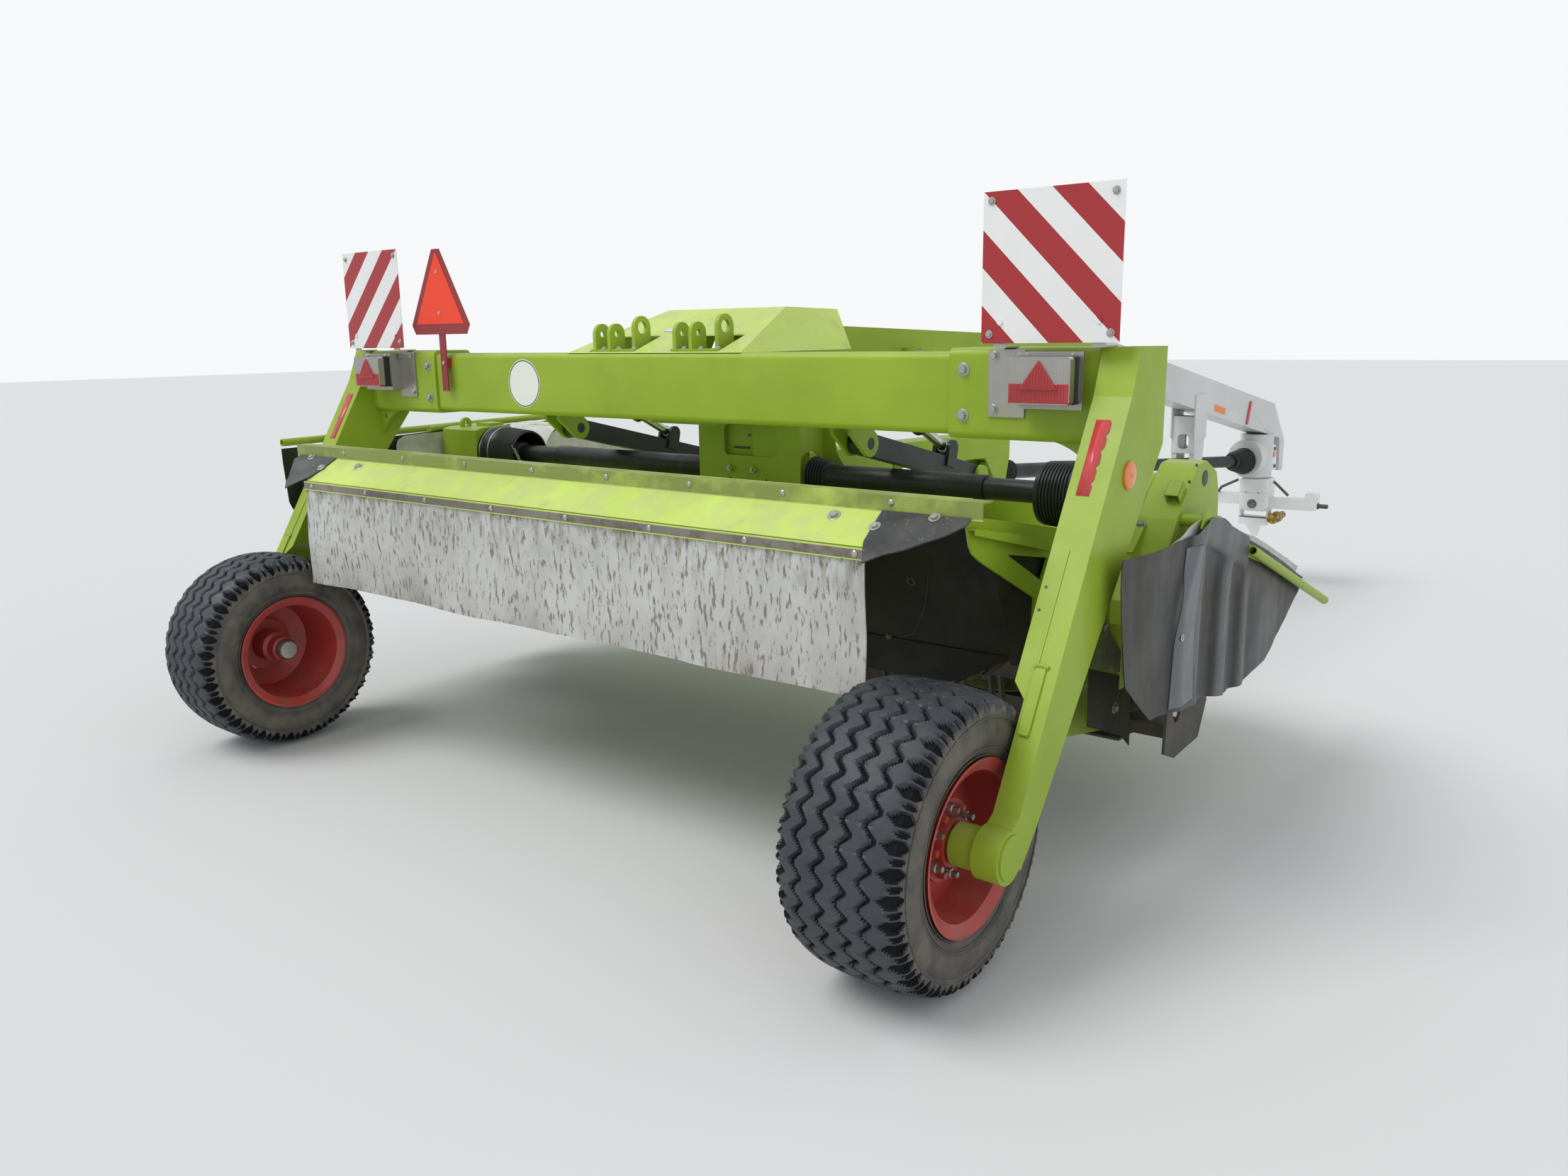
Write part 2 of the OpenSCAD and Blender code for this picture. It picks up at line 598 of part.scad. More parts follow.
// Hitch: lower swivel gearbox, crossbar with two lower-link pins, and the input shaft
module at_hitch() translate([hitch_x, hitch_y, 0]) children();
head_top = head_low - run_gap;
module hitch_head() place() at_hitch() color(grey) {
  translate([0, 0, 520]) linear_extrude(head_top - 60 - 520) polygon([[-122, -60], [-80, -110], [80, -110], [122, -60],
    [122, 60], [80, 110], [-80, 110], [-122, 60]]);
  difference() {
    translate([0, 0, head_top - 60]) linear_extrude(60) polygon([[-100, -50], [-66, -92], [66, -92], [100, -50],
      [100, 50], [66, 92], [-66, 92], [-100, 50]]);
    rod_z(head_low - 51, head_top + 1, spigot_r + pin_gap, 0, 0);
  }
  for (s = [-1, 1]) flip(s) {
    along_y(-45, 45) polygon([[118, 560], [300, 535], [yoke_w / 2, 520], [yoke_w / 2, 570], [yoke_w / 2 - 60, 590], [118, 640]]);
    rod_x(yoke_w / 2 - 1, yoke_w / 2 + link_pin_l, link_pin_r, 0, pin_z);
  }
  // Lower bracket and input shaft
  along_y(-40, 40) polygon([[-100, 521], [-100, 440], [-30, 300], [30, 300], [100, 440], [100, 521],
    [78, 521], [78, 460], [-78, 460], [-78, 521]]);
  rod_y(60, yoke_fwd, 24, 130, 410);
  box(100, 160, -40, 61, 380, 521);
}

// Lift linkage
module at_link() translate([0, link_y, link_z]) rotate([link_rest, 0, 0]) children();
module lift_arm() at_link() {
  difference() {
    union() {
      along_x(arm_x - arm_w / 2, arm_x + arm_w / 2) {
        translate([0, -40]) square([link_len, 80]);
        circle(40);
        translate([link_len, 0]) circle(40);
      }
      for (t = [-1, 1]) along_x(arm_x + t * (eye_w / 2 + run_gap + 8) - 8, arm_x + t * (eye_w / 2 + run_gap + 8) + 8) {
        translate([lift_on - 34, 0]) square([68, lift_up]);
        translate([lift_on, lift_up]) circle(34);
      }
    }
    rod_x(arm_x - arm_w, arm_x + arm_w, link_pin + pin_gap, link_len, 0);
  }
  rod_x(arm_x - arm_w / 2 - bracket_t, arm_x + arm_w / 2 + bracket_t, link_pin, 0, 0);
}
module lift_arm_left() place() color(black) flip(-1) lift_arm();
module lift_arm_right() place() color(black) flip(1) lift_arm();
module upper_link() place() color(black) translate([0, 0, upper_rise]) at_link() {
  rod_x(upper_x - eye_w / 2 - bracket_t, upper_x + eye_w / 2 + bracket_t, link_pin, 0, 0);
  rod_x(upper_x - eye_w / 2, upper_x + eye_w / 2, 40, 0, 0);
  rod_y(38, link_len - 36, eye_w / 2 - 2, upper_x, 0);
  rod_x(upper_x - eye_w / 2, upper_x + eye_w / 2, 38, link_len, 0);
}

// Lift cylinders
lift_v = lift_end - lift_eye;
lift_len = norm(lift_v);
lift_a = atan2(lift_v.y, lift_v.x);
lift_tube = 500;
module lift_line() translate([lift_x, lift_eye.x, lift_eye.y]) rotate([lift_a, 0, 0]) children();
module lift_barrel() lift_line() {
  difference() {
    union() {
      rod_x(-eye_w / 2, eye_w / 2, 34, 0, 0);
      rod_y(28, 47, eye_w / 2 - 2, 0, 0);
      rod_y(46, lift_tube, 36, 0, 0);
    }
    rod_y(80, lift_tube + 1, 20 + pin_gap, 0, 0);
  }
  rod_x(-eye_w / 2 - bracket_t, eye_w / 2 + bracket_t, 16 - pin_gap, 0, 0);
}
module lift_rod() lift_line() {
  rod_y(200, lift_len - 24, 20, 0, 0);
  rod_x(-eye_w / 2, eye_w / 2, 30, lift_len, 0);
}
module lift_barrel_left() place() color(black) flip(-1) lift_barrel();
module lift_barrel_right() place() color(black) flip(1) lift_barrel();
module lift_rod_left() place() color(zinc) flip(-1) lift_rod();
module lift_rod_right() place() color(zinc) flip(1) lift_rod();

// Cross shafts with ribbed bellows, from the centre gearbox to the deck's drive boxes
shaft_y = 550;
ball_r = 21;
ball_gap = 0.5;
ball_left = head_left + ball_r + ball_gap;
ball_right = head_right + ball_r + ball_gap;
bellows_at = 24;
shaft_step = 1140;
shaft_out = 1500;
cowl_in = 1370;
cowl_r = 120;
cowl_t = 6;
cowl_l = cheek_out - cowl_in;
module cross_shaft(x_ball) {
  translate([x_ball, shaft_y, shaft_z]) sphere(r = ball_r);
  rod_x(x_ball + 9, shaft_step, guard_r, shaft_y, shaft_z);
  rod_x(shaft_step - 1, shaft_out, inner_guard_r, shaft_y, shaft_z);
  translate([shaft_out - 90, shaft_y, shaft_z]) rotate([0, 90, 0]) cylinder(h = 90, r1 = guard_r, r2 = bellows_r - 6);
}
module cross_shaft_left() place() color(black) flip(-1) cross_shaft(ball_left);
module cross_shaft_right() place() color(black) {
  cross_shaft(ball_right);
  translate([ball_right + bellows_at, shaft_y, shaft_z]) rotate([0, 90, 0])
    cylinder(h = 84, r1 = bellows_r, r2 = guard_r + 12);
}

// Deck frame: cross tube, cheeks and the ears of the linkage
bar_rear = disc_y - bar_depth / 2;
sweep_y = disc_y - knife_reach - 12;
frame_tube_z = 930;
tube_s = 110;
ear_r = 44;
ear_foot = 8;
module ear(x, w, z, top) {
  for (s = [-1, 1])
    along_x(x + s * (w / 2 + run_gap + bracket_t / 2) - bracket_t / 2, x + s * (w / 2 + run_gap + bracket_t / 2) + bracket_t / 2) {
      translate([deck_pin.x - ear_r, z]) square([2 * ear_r, top - z]);
      translate([deck_pin.x, top]) circle(ear_r);
    }
  box(x - w / 2 - run_gap - 1, x + w / 2 + run_gap + 1, deck_pin.x - ear_r, deck_pin.x + ear_r, z, z + ear_foot);
}
tube_top = frame_tube_z + tube_s;
tube_wall = 8;
window_x0 = 378;
window_w = 110;
window_h = 132;
window_t = 60;
module deck_frame() place() color(lime) {
  difference() {
    box(-cheek_in + seat, cheek_in - seat, deck_pin.x - tube_s / 2, deck_pin.x + tube_s / 2, frame_tube_z, tube_top);
    box(-cheek_in, cheek_in, deck_pin.x - tube_s / 2 + tube_wall, deck_pin.x + tube_s / 2 - tube_wall,
      frame_tube_z + tube_wall, tube_top - tube_wall);
  }
  for (s = [-1, 1]) {
    ear(s * arm_x, arm_w, tube_top + seat, deck_pin.y);
    flip(s) cheek();
    rod_x(s * arm_x - arm_w / 2 - bracket_t, s * arm_x + arm_w / 2 + bracket_t, link_pin, deck_pin.x, deck_pin.y);
  }
  ear(upper_x, eye_w, tube_top + seat, deck_pin.y + upper_rise);
  // Window-shaped bracket on the cross tube
  along_y(deck_pin.x - window_t / 2, deck_pin.x + window_t / 2) translate([window_x0, tube_top + seat]) difference() {
    square([window_w, window_h]);
    translate([14, 16]) square([window_w - 28, window_h - 34]);
  }
}
// Cheek: its rear edge curves below the gutter and frames a three-cornered opening
gutter_w = 26;
cheek_rear = [[100, 420], [-60, 625], [-41, 909], [-224, 998], [-340, 1055], [-385, 1078], [-420, 1100], [-438, 1125],
  [-455, 1178], [-470, ridge_z - sheet - seat], [flange_y + seat, ridge_z - sheet - seat]];
module cheek() {
  along_x(cheek_in, cheek_out) difference() {
    polygon(concat([for (p = [0:3]) cover_pts[p] - [0, seat]], [[deck_pin.x + 60, frame_tube_z],
      [deck_pin.x + 60, 860], [900, 505], [sweep_y, 505], [sweep_y, bar_top_z + 8], [bar_rear - seat, bar_top_z - 4],
      [bar_rear - seat, bar_top_z - bar_t]], cheek_rear));
    polygon([[-223, 1069], [40, 1019], [0, 955]]);
  }
  along_x(cheek_out - 1, cheek_out + gutter_w) polygon([[-455, 1178], [66, 1075], [66, 1069], [-455, 1172]]);
  along_x(cheek_out + gutter_w - 5, cheek_out + gutter_w)
    polygon([[-455, 1178], [66, 1075], [66, 1062], [-30, 1056], [-455, 1160]]);
}

// Deck cover: folded sheet over the conditioner and the discs
cover_drop = 7;
cover_pts = [[flange_y + cover_drop, 1202], [62, 1110], [500, 1021], [deck_pin.x - tube_s / 2 - 1, frame_tube_z - seat],
  [deck_pin.x + tube_s / 2 + 30, frame_tube_z - seat], [1480, 890], [1650, 800]];
module deck_cover() place() color(pale_lime) along_x(-cheek_in + seat, cheek_in - seat) {
  translate([flange_y + seat, cover_pts[0].y - sheet]) square([cover_drop, ridge_z - cover_pts[0].y + sheet]);
  for (i = [0:len(cover_pts) - 2]) {
    a = cover_pts[i];
    b = cover_pts[i + 1];
    polygon([a, b, b - [0, sheet], a - [0, sheet]]);
  }
}

// Rear cover: ridge flange, sloping panel and the strip that clamps the skirt
panel_half = 1418;
module on_panel() translate([0, ridge_y, ridge_z - band_h]) rotate([panel_fall, 0, 0]) children();
module rear_cover() place() {
  color(pale_lime) {
    box(-ridge_half, ridge_half, ridge_y, ridge_y + sheet, ridge_z - band_h - 4, ridge_z);
    box(-ridge_half, ridge_half, ridge_y, flange_y, ridge_z - sheet, ridge_z);
    on_panel() translate([0, -panel_l, -sheet]) linear_extrude(sheet) polygon([[-skirt_half, 0], [skirt_half, 0],
      [panel_half + 30, panel_l + 3], [-panel_half - 30, panel_l + 3]]);
    box(-skirt_half, skirt_half, panel_y + 3, panel_y + 3 + sheet, panel_z - 40, panel_z - 1);
  }
  color(zinc) box(-skirt_half, skirt_half, panel_y - 12, panel_y - 8, panel_z - 36, panel_z - 2);
}
module rear_skirt() place() color([0.72, 0.72, 0.70])
  box(-skirt_half, skirt_half, panel_y - 8 + seat, panel_y + 3 - seat, panel_z - skirt_h, panel_z - 8);
// Flap's outline: distance from the middle, distance down the panel
flap_line = [[1372, 3], [1378, 91], [1388, 144], [1408, 150], [1440, 237], [1503, 194], [1600, 89], [1652, 38], [1652, 3]];
flap_t = 6;
module flap() on_panel() translate([0, 0, seat]) linear_extrude(flap_t) polygon([for (p = flap_line) [p.x, -p.y]]);
module flap_left() place() color(black) flip(-1) flap();
module flap_right() place() color(black) flip(1) flap();

// Behind the conditioner: baffles, their end walls and two swath boards
baffle_t = 6;
baffle_in = 1050;
baffle_out = cheek_in - 12;
baffle_line = [[-163, 745], [-296, 1060], [-388, 1178]];
board_turn = 48;
board_l = 290;
module swath_boards() place() color([0.16, 0.17, 0.14]) for (s = [-1, 1]) flip(s) {
  along_x(baffle_in, baffle_out) polygon(concat(baffle_line, [for (i = [2:-1:0]) baffle_line[i] + [baffle_t, 0]]));
  along_x(baffle_out, cheek_in - seat) polygon(concat(baffle_line, [[-150, 1124], [-20, 1080], [-20, 720], [-140, 720]]));
  translate([baffle_in - seat, -262, 0]) rotate([0, 0, board_turn]) {
    box(-board_l, -1, -baffle_t, 0, 740, 1030);
    rod_z(745, 1025, 8, -8, -baffle_t / 2);
  }
}

// Cutter bar with skids, end plates and disc posts
disc_z = bar_top_z + 28;
disc_post_r = 24;
bar_half = disc_span / 2 + 60;
module cutter_bar() place() color([0.25, 0.26, 0.25]) {
  box(-bar_half, bar_half, disc_y - bar_depth / 2, disc_y + bar_depth / 2, bar_top_z - bar_t, bar_top_z);
  along_x(-bar_half, bar_half) polygon([[disc_y + bar_depth / 2 - 1, bar_top_z], [disc_y + bar_depth / 2 + 26, bar_top_z - 22],
    [disc_y + bar_depth / 2 - 1, bar_top_z - bar_t]]);
  for (i = [0:disc_count - 1]) {
    x = (i - (disc_count - 1) / 2) * disc_pitch;
    rod_z(bar_top_z - 1, bar_top_z + 20, 48, x, disc_y);
    rod_z(bar_top_z - 1, disc_z + 30, disc_post_r, x, disc_y);
    along_x(x - 100, x + 100) polygon([[disc_y + 118, bar_top_z - 6], [disc_y + 80, bar_top_z - bar_t - 20],
      [disc_y - 140, bar_top_z - bar_t - 12], [disc_y - 140, bar_top_z - bar_t - 4], [disc_y + 70, bar_top_z - bar_t + 1],
      [disc_y + 100, bar_top_z - 10]]);
  }
  for (s = [-1, 1]) difference() {
    along_x(s * (end_plate_x - 5) - 5, s * (end_plate_x - 5) + 5) polygon([[disc_y - 190, 560], [disc_y - 200, 330],
      [disc_y - 110, 292], [disc_y + 120, 300], [disc_y + 190, 420], [disc_y + 90, 600]]);
    rod_x(s * (end_plate_x - 5) - 8, s * (end_plate_x - 5) + 8, 34, disc_y - 105, 450);
  }
  for (s = [-1, 1]) flip(s) box(bar_half - 1, end_plate_x - 9, disc_y - 60, disc_y + 60, bar_top_z - bar_t, bar_top_z - 14);
}

// Discs: low domes with two knives each
disc_r = 158;
module cutting_disc(i) place() translate([(i - (disc_count + 1) / 2) * disc_pitch, disc_y, disc_z]) rotate([0, 0, 90 * (i % 2)]) {
  color(grey) difference() {
    rotate_extrude() polygon([[0, 0], [disc_r, 0], [disc_r, 7], [118, 14], [92, 44], [40, 58], [0, 58]]);
    rod_z(-1, 31, disc_post_r + pin_gap, 0, 0);
  }
  color(black) for (s = [-1, 1]) translate([s * (knife_reach + 110) / 2, 0, -3]) difference() {
    translate([-(knife_reach - 110) / 2, -22, 0]) cube([knife_reach - 110, 44, 3.5]);
  }
}
module disc_1() cutting_disc(1);
module disc_2() cutting_disc(2);
module disc_3() cutting_disc(3);
module disc_4() cutting_disc(4);
module disc_5() cutting_disc(5);
module disc_6() cutting_disc(6);
module disc_7() cutting_disc(7);
module disc_8() cutting_disc(8);
module disc_9() cutting_disc(9);

// Conditioner: a tube with rows of V-shaped tines, on bearings in the cheeks
rotor_half = cheek_in - 26;
module conditioner() place() translate([0, rotor_y, rotor_z]) color(grey) {
  rod_x(-rotor_half, rotor_half, tube_r, 0, 0);
  rod_x(-cheek_in + seat, cheek_in - seat, 28, 0, 0);
  for (k = [0:tine_rows - 1]) for (j = [0:tine_count - 1]) {
    x = (j + 0.25 + 0.5 * (k % 2) - tine_count / 2) * (2 * rotor_half - 120) / tine_count;
    rotate([360 / tine_rows * k, 0, 0]) for (s = [-1, 1]) along_x(x + s * 18 - 5, x + s * 18 + 5)
      polygon([[-14, tube_r - 8], [14, tube_r - 8], [-22, tine_reach], [-38, tine_reach - 8]]);
  }
}

// Drive boxes at the deck's ends, each with a stub for the shaft's joint
drive_side = [[250, 1085], [461, 1213], [568, 1262], [625, 1270], [728, 1212], [728, 800], [250, 800]];
left_side = [[430, 800], [430, 1248], [470, 1258], [640, 1264], [690, 1180], [690, 800]];
drive_in = cheek_out + seat;
drive_out = end_plate_x + 12;
module drive_stub() rod_x(shaft_out + 14, drive_in + 1, bellows_r - 10, shaft_y, shaft_z);
// Open cones that guard the shafts' outer joints
cowl_rim = 13;
module cowl() translate([cowl_in, shaft_y, shaft_z]) rotate([0, 90, 0]) rotate_extrude() polygon([
  [cowl_r - cowl_rim, 0], [cowl_r - cowl_rim + cowl_t, 0], [cowl_r, cowl_l - 40], [cowl_r, cowl_l],
  [bellows_r - 10 + seat, cowl_l], [bellows_r - 10 + seat, cowl_l - cowl_t], [cowl_r - cowl_t, cowl_l - cowl_t],
  [cowl_r - cowl_t, cowl_l - 40]]);
module shaft_cowls() place() color(black) for (s = [-1, 1]) flip(s) cowl();
module drive_box_right() place() color(lime) {
  difference() {
    along_x(drive_in, drive_out) polygon(drive_side);
    rod_x(drive_out - 4, drive_out + 1, 26, 589, 1221 - 20);
  }
  drive_stub();
  along_x(1740, 1800) polygon([[330, 1135], [380, 1165], [352, 1200], [310, 1176]]);
  box(drive_in + 20, end_plate_x - 10 - seat, disc_y - 90, disc_y + 90, 560, 801);
}
module drive_box_left() place() color(lime) flip(-1) {
  along_x(drive_in, drive_out) polygon(left_side);
  drive_stub();
  // Ring lug and a raised cover on the top
  difference() {
    along_x(1786, 1804) {
      translate([474, 1240]) square([52, 34]);
      translate([500, 1274]) circle(30);
    }
    rod_x(1785, 1805, 14, 500, 1274);
  }
  box(1660, 1760, 540, 630, 1250, 1276);
  box(drive_in + 20, end_plate_x - 10 - seat, disc_y - 90, disc_y + 20, 560, 801);
}

// Left canvas: a box over the deck's front corner, carried by a tube hoop
canvas_in = 1500;
canvas_out = 1890;
canvas_t = 5;
canvas_side = [[742, 992], [742, 1120], [800, 1215], [880, 1250], [1060, 1250], [1290, 1180], [1500, 1040], [1640, 850]];
notch = 4;
canvas_foot = [[1480, 905], [deck_pin.x + tube_s / 2 + notch, 941], [deck_pin.x + tube_s / 2 + notch, 1044],
  [deck_pin.x - tube_s / 2 - notch, 1044], [deck_pin.x - tube_s / 2 - notch, 947]];
hoop_x = 1560;
hoop_r = 12;
hoop_feet = [[900, 960], [1046, 937]];
hoop_z = 1250 - canvas_t - hoop_r - seat;
function side_turn(p, i) = let (a = p[max(i - 1, 0)], b = p[min(i + 1, len(p) - 1)]) (b - a) / norm(b - a);
function inset(p, t) = [for (i = [len(p) - 1:-1:0]) let (v = side_turn(p, i)) p[i] + t * [v.y, -v.x]];
module canvas_box() {
  along_x(canvas_in, canvas_out) polygon(concat(canvas_side, inset(canvas_side, canvas_t)));
  along_x(canvas_in, canvas_in + canvas_t) polygon(concat(canvas_side, canvas_foot));
}
module hoop() {
  for (f = hoop_feet) {
    rod_z(f[1], hoop_z, hoop_r, hoop_x, f[0]);
    rod_x(hoop_x, canvas_out - 30, hoop_r, f[0], hoop_z);
  }
  for (x = [hoop_x, canvas_out - 30]) rod_y(hoop_feet[0][0], hoop_feet[1][0], hoop_r, x, hoop_z);
}
// Right canvas: it slopes down from the drive box, stretched over two arms and a tube
low_from = [742, 985];
low_to = [1480, 772];
low_dir = (low_to - low_from) / norm(low_to - low_from);
low_arms = [64, 424];
function low_at(d) = low_from + d * low_dir - (canvas_t + hoop_r + seat) * [-low_dir.y, low_dir.x];
module low_frame() {
  for (d = low_arms) rod_x(cheek_out + seat, canvas_out - 30, hoop_r, low_at(d).x, low_at(d).y);
  rod([canvas_out - 30, low_at(low_arms[0] - 30).x, low_at(low_arms[0] - 30).y],
    [canvas_out - 30, low_at(680).x, low_at(680).y], hoop_r);
}
module hoop_frame() place() color(lime) {
  flip(-1) hoop();
  low_frame();
}
module canvas_left() place() color(canvas_white) flip(-1) canvas_box();
module canvas_right() place() color(canvas_white) along_x(cheek_out + seat, canvas_out)
  polygon([low_from, low_to, low_to + [16, -40], low_to + [11, -42], low_to - [2, canvas_t], low_from - [0, canvas_t]]);

// Side guards: tube arms that fold on a pin at the deck's end, with their curtains
guard_tube_r = 17;
guard_pin_r = 20;
left_pin = [500, 1215];
left_tube = [[-380, 1238], [1250, 1262]];
curtain_x = guard_x - 24 - seat;
module guard_pin_at(pin) rod_x(drive_out + seat, guard_x - 13, guard_pin_r, pin.x, pin.y);
module guard_left() place() color(lime) flip(-1) {
  a = left_tube[0];
  b = left_tube[1];
  difference() {
    rod([guard_x, a.x, a.y], [guard_x, b.x, b.y], guard_tube_r);
    rod([guard_x, a.x - 1, a.y], [guard_x, a.x + 220, a.y + 3], guard_tube_r - 4);
  }
  rod([guard_x - 60, 372, 1250], [guard_x, 560, 1252], guard_tube_r - 2);
  along_x(guard_x - 18, guard_x - 12) polygon([left_pin + [-60, 30], left_pin + [80, 32], left_pin + [110, 4], left_pin + [40, -36],
    left_pin + [-30, -36]]);
  guard_pin_at(left_pin);
}
module guard_right() place() color(lime) {
  translate([0, guard_pin.x, guard_pin.y]) rotate([-guard_slope, 0, 0]) {
    difference() {
      rod([guard_x, 467, 0], [guard_x, 1570, 0], guard_tube_r);
      rod([guard_x, 466, 0], [guard_x, 700, 0], guard_tube_r - 4);
    }
    along_x(guard_x - 18, guard_x - 12) polygon([[-40, -30], [-20, 38], [30, 38], [620, 14], [620, -14], [30, -46]]);
  }
  guard_pin_at(guard_pin);
}
right_cloth = [[-210, 1060], [0, 1078], [230, 1090], [400, 1150], [460, 1150], [560, 1080], [900, 980], [1250, 850],
  [1640, 722], [1600, 670], [1400, 590], [1150, 495], [900, 465], [505, 505], [50, 545], [-160, 700]];
left_cloth = [[-400, 1212], [-100, 1216], [500, 1230], [1400, 1236], [1430, 1100], [1400, 880], [1300, 780],
  [900, 730], [300, 705], [-100, 720], [-300, 800], [-390, 960]];
module curtain(side, pin) along_x(curtain_x, curtain_x + 6) difference() {
  polygon(side);
  translate(pin) circle(guard_pin_r + 4);
}
module curtain_left() place() color(dark_vinyl) flip(-1) curtain(left_cloth, left_pin);
module curtain_right() place() color(dark_vinyl) curtain(right_cloth, guard_pin);

main_beam();
lug_brackets();
leg_left();
leg_right();
pivot_housing();
pivot_hood();
board_left();
board_right();
lamp_left();
lamp_right();
slow_sign();
tyre_left();
tyre_right();
rim_left();
rim_right();
drawbar_rear();
shaft_hanger();
drawbar_front();
drawbar_shaft();
swing_barrel();
swing_rod();
stand_leg();
hitch_head();
lift_arm_left();
lift_arm_right();
upper_link();
lift_barrel_left();
lift_barrel_right();
lift_rod_left();
lift_rod_right();
cross_shaft_left();
cross_shaft_right();
deck_frame();
deck_cover();
hoop_frame();
canvas_left();
canvas_right();
rear_cover();
rear_skirt();
flap_left();
flap_right();
swath_boards();
cutter_bar();
drive_box_left();
drive_box_right();
shaft_cowls();
conditioner();
disc_1();
disc_2();
disc_3();
disc_4();
disc_5();
disc_6();
disc_7();
disc_8();
disc_9();
guard_left();
guard_right();
curtain_left();
curtain_right();
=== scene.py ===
from math import copysign, cos, pi, radians, sin, tan

import bmesh
import bpy
from mathutils import Matrix, Vector, noise


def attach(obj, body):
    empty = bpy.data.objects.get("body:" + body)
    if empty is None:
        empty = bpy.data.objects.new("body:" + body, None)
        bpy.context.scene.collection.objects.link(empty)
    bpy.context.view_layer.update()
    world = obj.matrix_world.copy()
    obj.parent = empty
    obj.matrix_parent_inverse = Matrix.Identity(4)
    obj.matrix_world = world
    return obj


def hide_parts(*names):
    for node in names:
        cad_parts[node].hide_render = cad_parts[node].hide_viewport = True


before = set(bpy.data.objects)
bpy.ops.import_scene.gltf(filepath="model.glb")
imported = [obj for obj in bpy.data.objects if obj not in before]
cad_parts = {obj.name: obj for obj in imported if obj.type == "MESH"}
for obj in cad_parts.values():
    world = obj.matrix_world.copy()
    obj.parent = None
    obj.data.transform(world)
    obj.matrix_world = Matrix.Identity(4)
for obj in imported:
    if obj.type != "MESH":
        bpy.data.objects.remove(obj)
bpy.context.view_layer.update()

# Machine frame in millimetres (Y from the beam's rear face) to the part's frame in metres
MID = 2015.2866
PIVOT_Y, SWING = 600.0, radians(10.5)
BAR_LEN = 4374.0
HITCH_X = BAR_LEN * sin(SWING)
HITCH_Y = PIVOT_Y + BAR_LEN * cos(SWING)
AXLE_X, AXLE_Y, AXLE_Z = 1630, -707, 403
SHAFT_Y, SHAFT_Z = 550, 1140
SIDES = (("left", -1), ("right", 1))
BACKWARD, FORWARD, RIGHT = (0, -1, 0), (0, 1, 0), (1, 0, 0)
UP, DOWN = (0, 0, 1), (0, 0, -1)


def P(x, y, z):
    return Vector((x / 1000, (y - MID) / 1000, z / 1000))


def B(n, s, z):
    """A point on the drawbar: n to its right, s along it from the pivot."""
    return P(n * cos(SWING) + s * sin(SWING), PIVOT_Y + s * cos(SWING) - n * sin(SWING), z)


# ---- camera and light
CAMERA_AT, FOCAL_PX, PHOTO_WIDTH = (3147, -3171, 1691), 1644.4, 2212
scene = bpy.context.scene
cam_data = bpy.data.cameras.new("camera")
cam = bpy.data.objects.new("camera", cam_data)
scene.collection.objects.link(cam)
scene.camera = cam
YAW, PITCH, ROLL = radians(-38.35), radians(12.28), radians(-0.85)
fw = Vector((sin(YAW) * cos(PITCH), cos(YAW) * cos(PITCH), -sin(PITCH)))
rt = Vector((cos(YAW), -sin(YAW), 0))
up = rt.cross(fw)
r2 = cos(ROLL) * rt + sin(ROLL) * up
u2 = -sin(ROLL) * rt + cos(ROLL) * up
cam.matrix_world = Matrix.Translation(P(*CAMERA_AT)) @ Matrix((r2, u2, -fw)).transposed().to_4x4()
cam_data.sensor_width = 36
cam_data.lens = FOCAL_PX / PHOTO_WIDTH * cam_data.sensor_width
cam_data.clip_end = 200

scene.view_settings.view_transform = "Standard"
world = bpy.data.worlds.new("world")
scene.world = world
world.use_nodes = True
wt = world.node_tree
wt.nodes.clear()
w_out, w_mix, w_path = [wt.nodes.new("ShaderNode" + kind) for kind in ("OutputWorld", "MixShader", "LightPath")]
wt.links.new(w_path.outputs["Is Camera Ray"], w_mix.inputs[0])
wt.links.new(w_mix.outputs[0], w_out.inputs[0])
# The light that falls on the machine, and the backdrop that the camera sees
for i, colour, power in ((1, (0.92, 0.96, 1.0, 1), 0.72), (2, (0.93, 0.94, 0.95, 1), 1.0)):
    background = wt.nodes.new("ShaderNodeBackground")
    background.inputs[0].default_value = colour
    background.inputs[1].default_value = power
    wt.links.new(background.outputs[0], w_mix.inputs[i])


def sun(name, direction, power, angle):
    data = bpy.data.lights.new(name, "SUN")
    data.energy = power
    data.angle = radians(angle)
    o = bpy.data.objects.new(name, data)
    scene.collection.objects.link(o)
    o.rotation_mode = "QUATERNION"
    o.rotation_quaternion = Vector(direction).to_track_quat("-Z", "Y")


sun("key", (0.45, 0.5, -0.95), 1.62, 34)
sun("fill", (-0.9, 0.3, -0.35), 0.35, 60)


